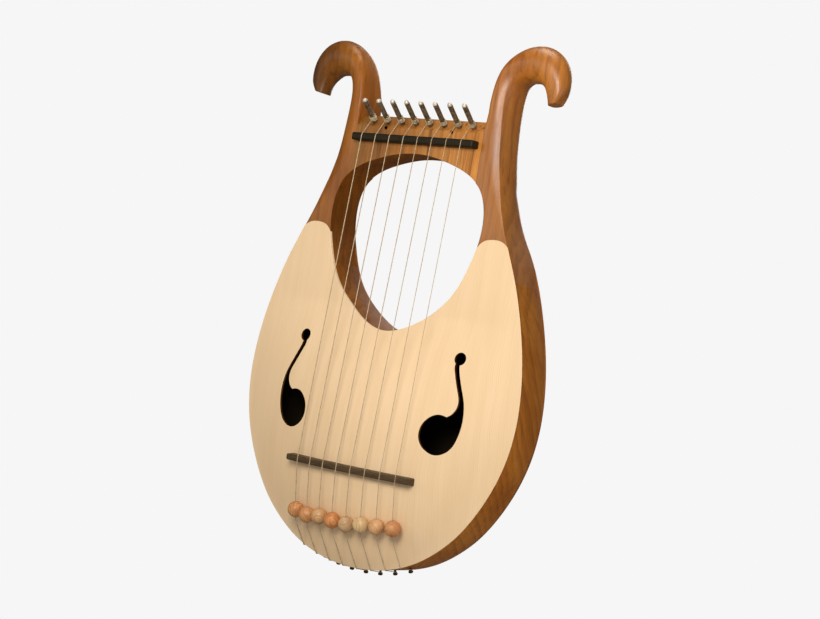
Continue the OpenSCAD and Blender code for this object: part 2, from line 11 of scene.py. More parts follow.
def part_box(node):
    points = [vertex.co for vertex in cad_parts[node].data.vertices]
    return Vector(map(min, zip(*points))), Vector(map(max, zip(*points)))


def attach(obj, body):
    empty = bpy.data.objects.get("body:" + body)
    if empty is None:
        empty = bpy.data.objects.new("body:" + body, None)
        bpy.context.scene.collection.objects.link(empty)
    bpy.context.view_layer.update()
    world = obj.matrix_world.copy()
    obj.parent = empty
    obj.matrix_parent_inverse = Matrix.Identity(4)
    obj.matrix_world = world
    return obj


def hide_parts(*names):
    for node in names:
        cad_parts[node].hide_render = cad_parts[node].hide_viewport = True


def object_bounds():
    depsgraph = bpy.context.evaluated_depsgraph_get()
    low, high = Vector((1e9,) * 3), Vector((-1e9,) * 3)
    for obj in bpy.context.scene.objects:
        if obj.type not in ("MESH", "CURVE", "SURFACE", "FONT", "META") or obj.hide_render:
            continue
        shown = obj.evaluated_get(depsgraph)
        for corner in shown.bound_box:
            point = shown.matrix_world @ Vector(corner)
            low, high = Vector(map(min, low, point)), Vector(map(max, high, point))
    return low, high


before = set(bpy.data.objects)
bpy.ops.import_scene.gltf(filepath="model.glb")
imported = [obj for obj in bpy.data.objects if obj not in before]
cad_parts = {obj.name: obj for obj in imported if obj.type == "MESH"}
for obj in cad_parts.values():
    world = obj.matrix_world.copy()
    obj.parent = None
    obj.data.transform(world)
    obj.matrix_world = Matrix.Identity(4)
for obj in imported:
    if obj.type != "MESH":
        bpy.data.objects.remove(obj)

cad_lo, cad_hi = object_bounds()
MM = 0.001

# ---------------------------------------------------------------- frame
# Design coordinates, in mm: x across, y from the rim's front plane to the back, z up from the rim's lowest point.
sb_lo, sb_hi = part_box("soundboard")
bb_lo, bb_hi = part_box("back_board")
BOARD_T = 3.0
RIM_Y = sb_hi.y / MM - BOARD_T
Z0 = bb_lo.z / MM
BODY_D = bb_hi.y / MM - RIM_Y
BACK_T = (bb_hi.y - bb_lo.y) / MM
KX = bb_hi.x / MM / 180.0 / 1.0007
ARM_Z0 = 318.0


def row(p):
    """Design millimetres to row metres."""
    p = np.asarray(p, float)
    return (p + np.array([0.0, RIM_Y, Z0])) * MM


# ---------------------------------------------------------------- curves
def spline(P, step, closed=False):
    """C2 cubic spline through P by chord length, resampled at an even step."""
    P = np.asarray(P, float)
    if closed:
        P = np.vstack([P, P[:1]])
    n = len(P)
    h = np.maximum(np.sqrt((np.diff(P, axis=0)[:, :2] ** 2).sum(1)), 1e-6)
    A = np.zeros((n, n))
    R = np.zeros((n, P.shape[1]))
    for i in range(1, n - 1):
        A[i, i - 1], A[i, i], A[i, i + 1] = h[i - 1], 2 * (h[i - 1] + h[i]), h[i]
        R[i] = 6 * ((P[i + 1] - P[i]) / h[i] - (P[i] - P[i - 1]) / h[i - 1])
    if closed:
        A[0, 0], A[0, n - 1] = 1, -1
        A[n - 1, 0], A[n - 1, 1] = 2 * h[0], h[0]
        A[n - 1, n - 1], A[n - 1, n - 2] = 2 * h[-1], h[-1]
        R[n - 1] = 6 * ((P[1] - P[0]) / h[0] - (P[-1] - P[-2]) / h[-1])
    else:
        A[0, 0] = A[n - 1, n - 1] = 1
    M = np.linalg.solve(A, R)
    out = []
    for i in range(n - 1):
        t = np.linspace(0, 1, 25)[:-1, None] * h[i]
        a = h[i] - t
        out.append(M[i] * a ** 3 / (6 * h[i]) + M[i + 1] * t ** 3 / (6 * h[i])
                   + (P[i] / h[i] - M[i] * h[i] / 6) * a + (P[i + 1] / h[i] - M[i + 1] * h[i] / 6) * t)
    D = np.vstack(out + [P[-1:]])
    return resample(D, step, closed)


def resample(D, step, closed=False):
    s = np.concatenate([[0], np.cumsum(np.sqrt((np.diff(D, axis=0)[:, :2] ** 2).sum(1)))])
    k = max(int(round(s[-1] / step)), 2)
    t = np.linspace(0, s[-1], k + 1)
    Q = np.stack([np.interp(t, s, D[:, j]) for j in range(D.shape[1])], 1)
    return Q[:-1] if closed else Q


def flip(P):
    P = np.array(P, float)
    P[:, 0] *= -1
    return P


# Half outlines, in design mm, the same control points as the solids have.
OUT = np.array([[0, 0], [30, 2.2], [60, 9.5], [84, 20], [106.5, 35], [124, 50.5], [147, 80], [163.3, 110], [174, 140],
                [179.2, 170], [180, 195], [177.5, 225], [170.8, 260], [162.3, 290], [151.5, 320], [138, 350], [126.5, 378],
                [119.8, 402], [114.8, 426], [111, 450], [108.5, 478], [107.5, 500]]) * [KX, 1]
HOLE = np.array([[0, 252], [21, 256], [43, 267.5], [60, 280.5], [72.5, 293], [81, 305], [87.5, 318], [93.5, 334], [98.6, 352],
                 [100.8, 370], [99.5, 388], [95.2, 401.5], [88, 413], [73, 424.5], [55, 432], [38, 437], [19, 440.8], [0, 442]]) * [KX, 1]
outer = spline(np.vstack([flip(OUT[::-1]), OUT[1:]]), 0.25)
outer = outer[outer[:, 0] >= -1e-9]
outer = outer[np.argsort(outer[:, 1])]
hole_all = spline(np.vstack([HOLE, flip(HOLE[::-1])[1:-1]]), 0.25, closed=True)
hole = hole_all[hole_all[:, 0] >= -1e-9]
hi = int(np.argmin(hole[:, 1]))
hole = hole[np.argsort(np.arctan2(hole[:, 0], -(hole[:, 1] - 350)))]
arch = hole[hole[:, 1] > 400]
arch = arch[np.argsort(arch[:, 0])]
hole_low = hole[hole[:, 1] < 372]
hole_low = hole_low[np.argsort(hole_low[:, 1])]


def half_w(z):
    return np.interp(z, outer[:, 1], outer[:, 0])


def rim_z(x):
    low = outer[outer[:, 1] < 120]
    return np.interp(np.abs(x), low[:, 0], low[:, 1])


def hole_x(z):
    return np.interp(z, hole_low[:, 1], hole_low[:, 0])


DOME_H, DOME_Z, DOME_UP = 28.0, 133.0, 142.0


def dome(x, z):
    x, z = np.asarray(x, float), np.asarray(z, float)
    lo = 1 - ((DOME_Z - np.minimum(z, DOME_Z)) / DOME_Z) ** 3
    up = np.clip(1 - ((np.maximum(z, DOME_Z) - DOME_Z) / DOME_UP) ** 2, 0, 1) ** 1.25
    w = np.maximum(half_w(z), 0.5)
    s = np.clip(np.abs(x) / w, 0, 1)
    return DOME_H * np.where(z < DOME_Z, np.clip(lo, 0, 1), up) * (1 - s * s) ** 1.25


# ---------------------------------------------------------------- mesh helpers
def new_object(name, verts, faces, mats, smooth=35, face_mat=None, recalc=True):
    me = bpy.data.meshes.new(name)
    me.from_pydata([tuple(v) for v in verts], [], [tuple(int(i) for i in f) for f in faces])
    me.validate(clean_customdata=False)
    for m in mats:
        me.materials.append(m)
    if face_mat is not None and len(face_mat) == len(me.polygons):
        me.polygons.foreach_set("material_index", [int(i) for i in face_mat])
    if recalc:
        bm = bmesh.new()
        bm.from_mesh(me)
        bmesh.ops.recalc_face_normals(bm, faces=bm.faces)
        bm.to_mesh(me)
        bm.free()
    me.shade_smooth()
    me.set_sharp_from_angle(angle=math.radians(smooth))
    o = bpy.data.objects.new(name, me)
    bpy.context.scene.collection.objects.link(o)
    return o


def place(o, body, node):
    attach(o, body)
    if node:
        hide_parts(*([node] if isinstance(node, str) else node))
    return o


def loft(S, closed_path=False, caps=True):
    """Quads between rings; S has shape (rings, points, 3)."""
    S = np.asarray(S, float)
    n, m = S.shape[:2]
    V = S.reshape(-1, 3)
    F = []
    for i in range(n if closed_path else n - 1):
        j = (i + 1) % n
        for k in range(m):
            l = (k + 1) % m
            F.append((i * m + k, j * m + k, j * m + l, i * m + l))
    if caps and not closed_path:
        F.append(tuple(range(m))[::-1])
        F.append(tuple((n - 1) * m + k for k in range(m)))
    return V, F


def join_parts(parts):
    V, F, M = [], [], []
    base = 0
    for p in parts:
        v, f = p[0], p[1]
        m = p[2] if len(p) > 2 else 0
        V.append(np.asarray(v, float))
        F += [tuple(i + base for i in q) for q in f]
        M += [m] * len(f)
        base += len(v)
    return np.vstack(V), F, M


def corner_points(c, d0, d1, r, n):
    """Points of a rounded corner at c between edges that leave along unit vectors d0 (in) and d1 (out)."""
    out = []
    for i in range(n + 1):
        a = math.pi / 2 * i / n
        out.append(c - d0 * r * (1 - math.sin(a)) + d1 * r * (1 - math.cos(a)))
    return out


def boolean(o, cutter, op="DIFFERENCE"):
    m = o.modifiers.new("cut", "BOOLEAN")
    m.operation = op
    m.object = cutter
    m.solver = "EXACT"
    dg = bpy.context.evaluated_depsgraph_get()
    me = bpy.data.meshes.new_from_object(o.evaluated_get(dg), depsgraph=dg)
    o.modifiers.clear()
    old = o.data
    o.data = me
    bpy.data.meshes.remove(old)
    bpy.data.objects.remove(cutter)
    me.shade_smooth()
    me.set_sharp_from_angle(angle=math.radians(32))
    return o


def inside(P, L):
    """Whether points P lie inside the closed loop L."""
    x, z = P[:, 0][:, None], P[:, 1][:, None]
    a, b = L, np.roll(L, -1, axis=0)
    c = (a[:, 1] > z) != (b[:, 1] > z)
    with np.errstate(divide="ignore", invalid="ignore"):
        xi = a[:, 0] + (z - a[:, 1]) * (b[:, 0] - a[:, 0]) / np.where(b[:, 1] == a[:, 1], 1e-9, b[:, 1] - a[:, 1])
    return ((c & (x < xi)).sum(1) % 2) == 1


def area(L):
    a, b = L, np.roll(L, -1, axis=0)
    return 0.5 * (a[:, 0] * b[:, 1] - b[:, 0] * a[:, 1]).sum()


def offset(L, d):
    """Moves a counter-clockwise loop inwards by d with mitred corners."""
    a, b = np.roll(L, 1, axis=0), np.roll(L, -1, axis=0)
    e0, e1 = L - a, b - L
    e0 /= np.maximum(np.linalg.norm(e0, axis=1), 1e-9)[:, None]
    e1 /= np.maximum(np.linalg.norm(e1, axis=1), 1e-9)[:, None]
    n0 = np.stack([-e0[:, 1], e0[:, 0]], 1)
    n1 = np.stack([-e1[:, 1], e1[:, 0]], 1)
    n = n0 + n1
    n /= np.maximum(np.linalg.norm(n, axis=1), 1e-9)[:, None]
    k = np.clip((n * n0).sum(1), 0.45, 1)
    return L + n * (d / k)[:, None]


def plate(name, outer_loop, holes, front, back, er, eb, grid, mats, margin=0.6):
    """A thick plate between y = front(x, z) and y = back(x, z), with rounded edges of radius er in front and eb behind."""
    loops = []
    for i, L in enumerate([outer_loop] + list(holes)):
        if (area(L) > 0) != (i == 0):
            L = L[::-1]
        loops.append(L)
    inner_f = [offset(L, er + margin) for L in loops]
    # interior triangulation
    lo, hi_ = outer_loop.min(0), outer_loop.max(0)
    pts = []
    r = 0
    z = lo[1]
    while z < hi_[1]:
        x = lo[0] + (0.5 * grid if r % 2 else 0)
        while x < hi_[0]:
            pts.append((x, z))
            x += grid
        z += grid * 0.866
        r += 1
    pts = np.array(pts)
    keep = inside(pts, inner_f[0])
    for L in inner_f[1:]:
        keep &= ~inside(pts, L)
    pts = pts[keep]
    B = np.vstack(inner_f)
    ok = np.ones(len(pts), bool)
    for i in range(0, len(pts), 500):
        d = np.sqrt(((pts[i:i + 500, None] - B[None]) ** 2).sum(2)).min(1)
        ok[i:i + 500] = d > 0.55 * grid
    pts = pts[ok]
    P2 = np.vstack([B, pts])
    edges = []
    s = 0
    for L in inner_f:
        n = len(L)
        edges += [(s + i, s + (i + 1) % n) for i in range(n)]
        s += n
    res = delaunay_2d_cdt([Vector((float(a), float(b))) for a, b in P2], edges, [], 0, 1e-6)
    Q = np.array([(v.x, v.y) for v in res[0]])
    T = np.array([f for f in res[2]])
    C = Q[T].mean(1)
    k = inside(C, inner_f[0])
    for L in inner_f[1:]:
        k &= ~inside(C, L)
    T = T[k]
    # map the loops' vertices to the triangulation's
    orig = {}
    for i, o in enumerate(res[3]):
        for j in o:
            orig[j] = i
    V = [np.stack([Q[:, 0], front(Q[:, 0], Q[:, 1]), Q[:, 1]], 1), np.stack([Q[:, 0], back(Q[:, 0], Q[:, 1]), Q[:, 1]], 1)]
    nQ = len(Q)
    F = [tuple(t) for t in T] + [tuple(int(i) + nQ for i in t[::-1]) for t in T]
    base = 2 * nQ
    s = 0
    for L, I in zip(loops, inner_f):
        n = len(L)
        rings = []

        def add(R2, Y):
            nonlocal base
            V.append(np.stack([R2[:, 0], Y, R2[:, 1]], 1))
            rings.append([base + i for i in range(n)])
            base += n
        rings.append([orig[s + i] for i in range(n)])
        R2 = offset(L, er)
        add(R2, front(R2[:, 0], R2[:, 1]))
        for a in (30, 60, 90):
            a = math.radians(a)
            R2 = offset(L, er * (1 - math.sin(a)))
            add(R2, front(R2[:, 0], R2[:, 1]) + er * (1 - math.cos(a)))
        if eb > 0:
            for a in (90, 60, 30):
                a = math.radians(a)
                R2 = offset(L, eb * (1 - math.sin(a)))
                add(R2, back(R2[:, 0], R2[:, 1]) - eb * (1 - math.cos(a)))
            R2 = offset(L, eb)
            add(R2, back(R2[:, 0], R2[:, 1]))
        else:
            add(L, back(L[:, 0], L[:, 1]))
        rings.append([orig[s + i] + nQ for i in range(n)])
        for a, b in zip(rings[:-1], rings[1:]):
            F += [(a[i], a[(i + 1) % n], b[(i + 1) % n], b[i]) for i in range(n)]
        s += n
    V = np.vstack(V)
    used = sorted({i for f in F for i in f})
    remap = {i: k for k, i in enumerate(used)}
    return new_object(name, row(V[used]), [tuple(remap[i] for i in f) for f in F], mats)


def tube(path, r, m=12, caps=True):
    """A round tube along a path (n, 3) in metres; r is one radius or one for each point."""
    path = np.asarray(path, float)
    n = len(path)
    r = np.full(n, r) if np.isscalar(r) else np.asarray(r)
    T = np.gradient(path, axis=0)
    T /= np.linalg.norm(T, axis=1)[:, None]
    u = np.cross(T[0], [0, 1, 0])
    if np.linalg.norm(u) < 0.2:
        u = np.cross(T[0], [1, 0, 0])
    u /= np.linalg.norm(u)
    R = []
    for i in range(n):
        u = u - T[i] * np.dot(u, T[i])
        u /= np.linalg.norm(u)
        v = np.cross(T[i], u)
        a = np.arange(m) * 2 * math.pi / m
        R.append(path[i] + r[i] * (np.cos(a)[:, None] * u + np.sin(a)[:, None] * v))
    return loft(R, caps=caps)


def round_path(P, radii, n=5):
    """Rounds the corners of a polyline with quadratic arcs; radii are distances cut back at each inner corner."""
    P = [np.asarray(p, float) for p in P]
    out = [P[0]]
    for i in range(1, len(P) - 1):
        a, b, c = P[i - 1], P[i], P[i + 1]
        d = min(radii[i - 1], 0.45 * np.linalg.norm(b - a), 0.45 * np.linalg.norm(c - b))
        p = b + (a - b) / np.linalg.norm(a - b) * d
        q = b + (c - b) / np.linalg.norm(c - b) * d
        for t in np.linspace(0, 1, n):
            out.append((1 - t) ** 2 * p + 2 * t * (1 - t) * b + t * t * q)
    out.append(P[-1])
    return np.array(out)


# ---------------------------------------------------------------- materials
def srgb(r, g, b):
    def f(c):
        c /= 255.0
        return c / 12.92 if c <= 0.04045 else ((c + 0.055) / 1.055) ** 2.4
    return (f(r), f(g), f(b), 1.0)


class Net:
    """Short names for shader nodes."""

    def __init__(self, name):
        self.m = bpy.data.materials.new(name)
        self.m.use_nodes = True
        self.t = self.m.node_tree
        self.t.nodes.clear()
        self.out = self.t.nodes.new("ShaderNodeOutputMaterial")
        self.bsdf = self.t.nodes.new("ShaderNodeBsdfPrincipled")
        self.t.links.new(self.bsdf.outputs[0], self.out.inputs[0])

    def put(self, sock, v):
        if v is None:
            return
        if isinstance(v, bpy.types.NodeSocket):
            self.t.links.new(v, sock)
        else:
            sock.default_value = v

    def node(self, kind, **kw):
        n = self.t.nodes.new(kind)
        for k, v in kw.items():
            setattr(n, k, v)
        return n

    def coords(self, rot=(0, 0, 0), scale=(1000, 1000, 1000), loc=(0, 0, 0)):
        tc = self.node("ShaderNodeTexCoord")
        mp = self.node("ShaderNodeMapping")
        mp.inputs["Rotation"].default_value = rot
        mp.inputs["Scale"].default_value = scale
        mp.inputs["Location"].default_value = loc
        self.t.links.new(tc.outputs["Object"], mp.inputs["Vector"])
        return mp.outputs[0]

    def vscale(self, v, s):
        n = self.node("ShaderNodeVectorMath", operation="MULTIPLY")
        self.put(n.inputs[0], v)
        n.inputs[1].default_value = s
        return n.outputs[0]

    def vadd(self, a, b):
        n = self.node("ShaderNodeVectorMath", operation="ADD")
        self.put(n.inputs[0], a)
        self.put(n.inputs[1], b)
        return n.outputs[0]

    def noise(self, v, scale=1.0, detail=3.0, rough=0.55, color=False):
        n = self.node("ShaderNodeTexNoise")
        self.put(n.inputs["Vector"], v)
        n.inputs["Scale"].default_value = scale
        n.inputs["Detail"].default_value = detail
        n.inputs["Roughness"].default_value = rough
        return n.outputs["Color"] if color else n.outputs["Fac"]

    def math(self, op, a, b=None, c=None, clamp=False):
        n = self.node("ShaderNodeMath", operation=op, use_clamp=clamp)
        self.put(n.inputs[0], a)
        self.put(n.inputs[1], b)
        if c is not None:
            self.put(n.inputs[2], c)
        return n.outputs[0]

    def ramp(self, v, stops, smooth=True):
        n = self.node("ShaderNodeValToRGB")
        n.color_ramp.interpolation = "EASE" if smooth else "LINEAR"
        e = n.color_ramp.elements
        while len(e) > 1:
            e.remove(e[-1])
        e[0].position, e[0].color = stops[0][0], stops[0][1]
        for p, c in stops[1:]:
            k = e.new(p)
            k.color = c
        self.put(n.inputs[0], v)
        return n.outputs[0]

    def grey(self, v, a, b, lo=0.0, hi=1.0):
        n = self.node("ShaderNodeMapRange")
        n.interpolation_type = "SMOOTHSTEP"
        self.put(n.inputs["Value"], v)
        n.inputs["From Min"].default_value = a
        n.inputs["From Max"].default_value = b
        n.inputs["To Min"].default_value = lo
        n.inputs["To Max"].default_value = hi
        return n.outputs[0]

    def mix(self, fac, a, b, blend="MIX"):
        n = self.node("ShaderNodeMix", data_type="RGBA", blend_type=blend)
        self.put(n.inputs[0], fac)
        self.put(n.inputs[6], a)
        self.put(n.inputs[7], b)
        return n.outputs[2]

    def sep(self, v):
        n = self.node("ShaderNodeSeparateXYZ")
        self.put(n.inputs[0], v)
        return n.outputs

    def comb(self, x, y, z):
        n = self.node("ShaderNodeCombineXYZ")
        for i, a in enumerate((x, y, z)):
            self.put(n.inputs[i], a)
        return n.outputs[0]

    def bump(self, h, dist, strength=1.0, normal=None):
        n = self.node("ShaderNodeBump")
        n.inputs["Strength"].default_value = strength
        n.inputs["Distance"].default_value = dist
        self.put(n.inputs["Height"], h)
        self.put(n.inputs["Normal"], normal)
        return n.outputs[0]

    def edge(self, px=0.0012):
        """Bright where the surface turns outwards sharply, for worn edges; from the bevel normal."""
        bv = self.node("ShaderNodeBevel", samples=4)
        bv.inputs["Radius"].default_value = px
        ge = self.node("ShaderNodeNewGeometry")
        d = self.node("ShaderNodeVectorMath", operation="DOT_PRODUCT")
        self.put(d.inputs[0], bv.outputs[0])
        self.put(d.inputs[1], ge.outputs["Normal"])
        return self.grey(d.outputs["Value"], 0.995, 0.90)

    def finish(self, color, rough, normal=None, metallic=0.0, spec=0.5, coat=0.0, coat_rough=0.2):
        b = self.bsdf
        self.put(b.inputs["Base Color"], color)
        self.put(b.inputs["Roughness"], rough)
        self.put(b.inputs["Normal"], normal)
        b.inputs["Metallic"].default_value = metallic
        b.inputs["Specular IOR Level"].default_value = spec
        b.inputs["Coat Weight"].default_value = coat
        b.inputs["Coat Roughness"].default_value = coat_rough
        return self.m


def spruce(name, gain=1.0):
    n = Net(name)
    v = n.coords()
    x, y, z = n.sep(v)[:3]
    # gentle waviness of the year rings along the board
    wav = n.noise(n.vscale(v, (0.012, 0.0, 0.006)), 1.0, 2.0)
    wav2 = n.noise(n.vscale(v, (0.05, 0.0, 0.02)), 1.0, 2.0)
    xa = n.math("ADD", x, n.math("MULTIPLY", wav, 26.0))
    xa = n.math("ADD", xa, n.math("MULTIPLY", wav2, 1.6))
    phase = n.math("DIVIDE", xa, 1.55)
    saw = n.math("FRACT", phase)
    late = n.grey(saw, 0.45, 0.92)
    fall = n.grey(saw, 0.93, 1.0, 1.0, 0.0)
    ring = n.math("MULTIPLY", late, fall)
    # each ring has its own strength
    cell = n.math("FLOOR", phase)
    wn = n.node("ShaderNodeTexWhiteNoise", noise_dimensions="1D")
    n.put(wn.inputs["W"], cell)
    ring = n.math("MULTIPLY", ring, n.math("ADD", n.math("MULTIPLY", wn.outputs["Value"], 0.8), 0.25))
    broad = n.noise(n.vscale(v, (0.07, 0.07, 0.004)), 1.0, 3.0)
    cloud = n.noise(n.vscale(v, (0.014, 0.014, 0.010)), 1.0, 3.0)
    fibre = n.noise(n.vscale(v, (2.6, 2.6, 0.10)), 1.0, 3.0, 0.6)
    silk = n.noise(n.vscale(v, (0.35, 0.35, 0.9)), 1.0, 4.0, 0.6)
    a = srgb(240 * gain, 208 * gain, 166 * gain)
    b = srgb(228 * gain, 194 * gain, 147 * gain)
    c = srgb(212 * gain, 172 * gain, 122 * gain)
    col = n.mix(n.math("MULTIPLY", n.grey(broad, 0.32, 0.72), 0.45), a, b)
    col = n.mix(n.math("MULTIPLY", n.grey(cloud, 0.40, 0.75), 0.25), col, b)
    col = n.mix(n.math("MULTIPLY", ring, 0.42), col, c)
    col = n.mix(n.math("MULTIPLY", n.grey(fibre, 0.5, 0.8), 0.16), col, c)
    col = n.mix(n.math("MULTIPLY", n.grey(silk, 0.55, 0.8), 0.10), col, srgb(250, 230, 195))
    rough = n.math("ADD", n.grey(fibre, 0.3, 0.8, 0.40, 0.52), n.math("MULTIPLY", ring, -0.05))
    h = n.math("ADD", n.math("MULTIPLY", ring, 0.7), n.math("MULTIPLY", fibre, 0.4))
    nb = n.bump(h, 0.00006, 0.6)
    return n.finish(col, rough, nb, spec=0.3, coat=0.05, coat_rough=0.35)


def hardwood(name, light, mid, dark, tilt=0.0, bend_z=130.0, streak=0.55, ring_mm=9.0, ring_amt=0.5, pores=0.6,
             rough=(0.36, 0.50), coat=0.06, wear=0.2, spec=0.3, seed=0.0, axis="z", wander=46.0, shade=None):
    """Brown hardwood sawn from the solid: growth layers cut by the surface, dark streaks, fibre and open pores along the grain.
    Below bend_z the grain leans by tilt from the upright towards the back."""
    n = Net(name)
    v = n.coords()
    x, y, z = n.sep(v)[:3]
    if axis == "x":
        x, z = z, x
    if tilt:
        lean = n.math("MULTIPLY", n.math("MINIMUM", n.math("SUBTRACT", z, bend_z), 0.0), tilt)
        y = n.math("ADD", y, lean)
    x0, z0 = x, z
    v = n.comb(n.math("ADD", x, seed), y, z)
    x = n.sep(v)[0]
    # growth layers: planes across x, bent by slow noise
    bend = n.noise(n.vscale(v, (0.008, 0.008, 0.0030)), 1.0, 2.0)
    bend2 = n.noise(n.vscale(v, (0.05, 0.05, 0.008)), 1.0, 2.0)
    xa = n.math("ADD", n.math("MULTIPLY", x, 0.8), n.math("MULTIPLY", y, 0.55))
    xa = n.math("ADD", xa, n.math("MULTIPLY", bend, wander))
    xa = n.math("ADD", xa, n.math("MULTIPLY", bend2, 6.0))
    ph = n.math("DIVIDE", xa, ring_mm)
    saw = n.math("FRACT", ph)
    cell = n.math("FLOOR", ph)
    wn = n.node("ShaderNodeTexWhiteNoise", noise_dimensions="1D")
    n.put(wn.inputs["W"], cell)
    layer = n.math("MULTIPLY", n.grey(saw, 0.10, 0.86), n.grey(saw, 0.86, 1.0, 1.0, 0.0))
    layer = n.math("MULTIPLY", layer, n.math("ADD", n.math("MULTIPLY", wn.outputs["Value"], 0.8), 0.2))
    # streaks and fibre
    st = n.noise(n.vscale(v, (0.16, 0.16, 0.009)), 1.0, 4.0, 0.6)
    st2 = n.noise(n.vscale(n.vadd(v, (31.0, 7.0, 3.0)), (0.55, 0.55, 0.018)), 1.0, 4.0, 0.6)
    fib = n.noise(n.vscale(v, (2.2, 2.2, 0.09)), 1.0, 4.0, 0.65)
    fine = n.noise(n.vscale(v, (1.1, 1.1, 0.035)), 1.0, 3.0, 0.6)
    cloud = n.noise(n.vscale(v, (0.020, 0.020, 0.012)), 1.0, 3.0)
    pr = n.noise(n.vscale(v, (3.2, 3.2, 0.22)), 1.0, 2.0, 0.5)
    pore = n.grey(pr, 0.63, 0.71)
    col = n.mix(n.grey(cloud, 0.33, 0.70), light, mid)
    col = n.mix(n.math("MULTIPLY", layer, ring_amt), col, dark)
    col = n.mix(n.math("MULTIPLY", n.grey(st, 0.50, 0.76), streak), col, dark)
    col = n.mix(n.math("MULTIPLY", n.grey(st2, 0.50, 0.80), streak * 0.6), col, dark)
    col = n.mix(n.math("MULTIPLY", n.grey(fine, 0.40, 0.75), 0.22), col, dark)
    col = n.mix(n.math("MULTIPLY", n.grey(fib, 0.40, 0.78), 0.20), col, dark)
    col = n.mix(n.math("MULTIPLY", pore, pores * 0.5), col, tuple(c * 0.5 for c in dark[:3]) + (1.0,))
    if wear:
        col = n.mix(n.math("MULTIPLY", n.edge(), wear), col, light)
    # painted light and shade: the colour is multiplied by the given curve
    if shade:
        g = shade(n, x0, z0)
        col = n.mix(1.0, col, n.comb(g, g, g), blend="MULTIPLY")
    r = n.grey(fib, 0.3, 0.8, rough[0], rough[1])
    r = n.math("ADD", r, n.math("MULTIPLY", pore, 0.12))
    h = n.math("SUBTRACT", n.math("MULTIPLY", fib, 0.5), n.math("MULTIPLY", pore, 0.9))
    nb = n.bump(h, 0.00006, 0.6)
    return n.finish(col, r, nb, spec=spec, coat=coat, coat_rough=0.4)


def ebony(name, gain=1.0, blue=1.0):
    n = Net(name)
    g = lambda r, gg, b: srgb(r * gain, gg * gain, b * gain * blue)
    v = n.coords()
    f = n.noise(n.vscale(v, (0.09, 1.8, 1.8)), 1.0, 4.0, 0.65)
    s = n.noise(n.vscale(v, (0.02, 0.5, 0.5)), 1.0, 3.0)
    p = n.noise(n.vscale(v, (0.35, 4.5, 4.5)), 1.0, 2.0)
    pore = n.grey(p, 0.62, 0.72)
    col = n.mix(n.grey(f, 0.35, 0.75), g(38, 29, 18), g(58, 45, 28))
    col = n.mix(n.math("MULTIPLY", n.grey(s, 0.45, 0.7), 0.5), col, g(25, 19, 12))
    col = n.mix(n.math("MULTIPLY", pore, 0.6), col, srgb(10, 8, 5))
    col = n.mix(n.math("MULTIPLY", n.edge(0.0008), 0.35), col, g(96, 78, 50))
    h = n.math("SUBTRACT", n.math("MULTIPLY", f, 0.5), pore)
    return n.finish(col, n.grey(f, 0.3, 0.8, 0.46, 0.60), n.bump(h, 0.00008, 0.7), spec=0.25)


def bead_wood(name, seed, light, mid, dark):
    n = Net(name)
    rnd = random.Random(seed)
    v = n.coords(rot=(rnd.uniform(-1.2, 1.2), rnd.uniform(-1.2, 1.2), rnd.uniform(-3, 3)), loc=(rnd.uniform(-40, 40), rnd.uniform(-40, 40), rnd.uniform(-40, 40)))
    x, y, z = n.sep(v)[:3]
    bend = n.noise(n.vscale(v, (0.06, 0.06, 0.03)), 1.0, 2.0)
    xa = n.math("ADD", n.math("ADD", x, n.math("MULTIPLY", y, 0.3)), n.math("MULTIPLY", bend, 14.0))
    ph = n.math("DIVIDE", xa, 1.7)
    saw = n.math("FRACT", ph)
    ring = n.math("MULTIPLY", n.grey(saw, 0.25, 0.85), n.grey(saw, 0.86, 1.0, 1.0, 0.0))
    wn = n.node("ShaderNodeTexWhiteNoise", noise_dimensions="1D")
    n.put(wn.inputs["W"], n.math("FLOOR", ph))
    ring = n.math("MULTIPLY", ring, n.math("ADD", n.math("MULTIPLY", wn.outputs["Value"], 0.75), 0.25))
    fib = n.noise(n.vscale(v, (2.2, 2.2, 0.25)), 1.0, 3.0, 0.6)
    cl = n.noise(n.vscale(v, (0.12, 0.12, 0.10)), 1.0, 3.0)
    col = n.mix(n.grey(cl, 0.35, 0.68), light, mid)
    col = n.mix(n.math("MULTIPLY", ring, 0.80), col, dark)
    col = n.mix(n.math("MULTIPLY", n.grey(fib, 0.45, 0.8), 0.25), col, dark)
    h = n.math("ADD", n.math("MULTIPLY", fib, 0.5), n.math("MULTIPLY", ring, 0.3))
    return n.finish(col, n.grey(fib, 0.3, 0.8, 0.40, 0.55), n.bump(h, 0.00007, 0.6), spec=0.45, coat=0.1, coat_rough=0.3)


def metal(name, base, dark, rough=(0.25, 0.45), wear_color=None, scale=1.0, axis_noise=(1.2, 1.2, 1.2), edge=0.5, metallic=1.0, patchy=0.45):
    n = Net(name)
    v = n.coords()
    a = n.noise(n.vscale(v, tuple(s * scale for s in axis_noise)), 1.0, 4.0, 0.6)
    b = n.noise(n.vscale(v, (0.25 * scale,) * 3), 1.0, 3.0)
    c = n.noise(n.vscale(v, (6.0, 6.0, 6.0)), 1.0, 2.0)
    col = n.mix(n.grey(b, 0.35, 0.68), base, dark)
    col = n.mix(n.math("MULTIPLY", n.grey(a, 0.5, 0.8), patchy), col, dark)
    if wear_color:
        col = n.mix(n.math("MULTIPLY", n.edge(0.0005), edge), col, wear_color)
    r = n.grey(a, 0.3, 0.8, rough[0], rough[1])
    return n.finish(col, r, n.bump(c, 0.00002, 0.5), metallic=metallic)


def steps(n, v, stops):
    """A piecewise linear curve through (value, result) stops."""
    out = stops[0][1]
    for (a, p), (b, q) in zip(stops, stops[1:]):
        out = n.math("ADD", out, n.grey(v, a, b, 0.0, q - p))
    return out


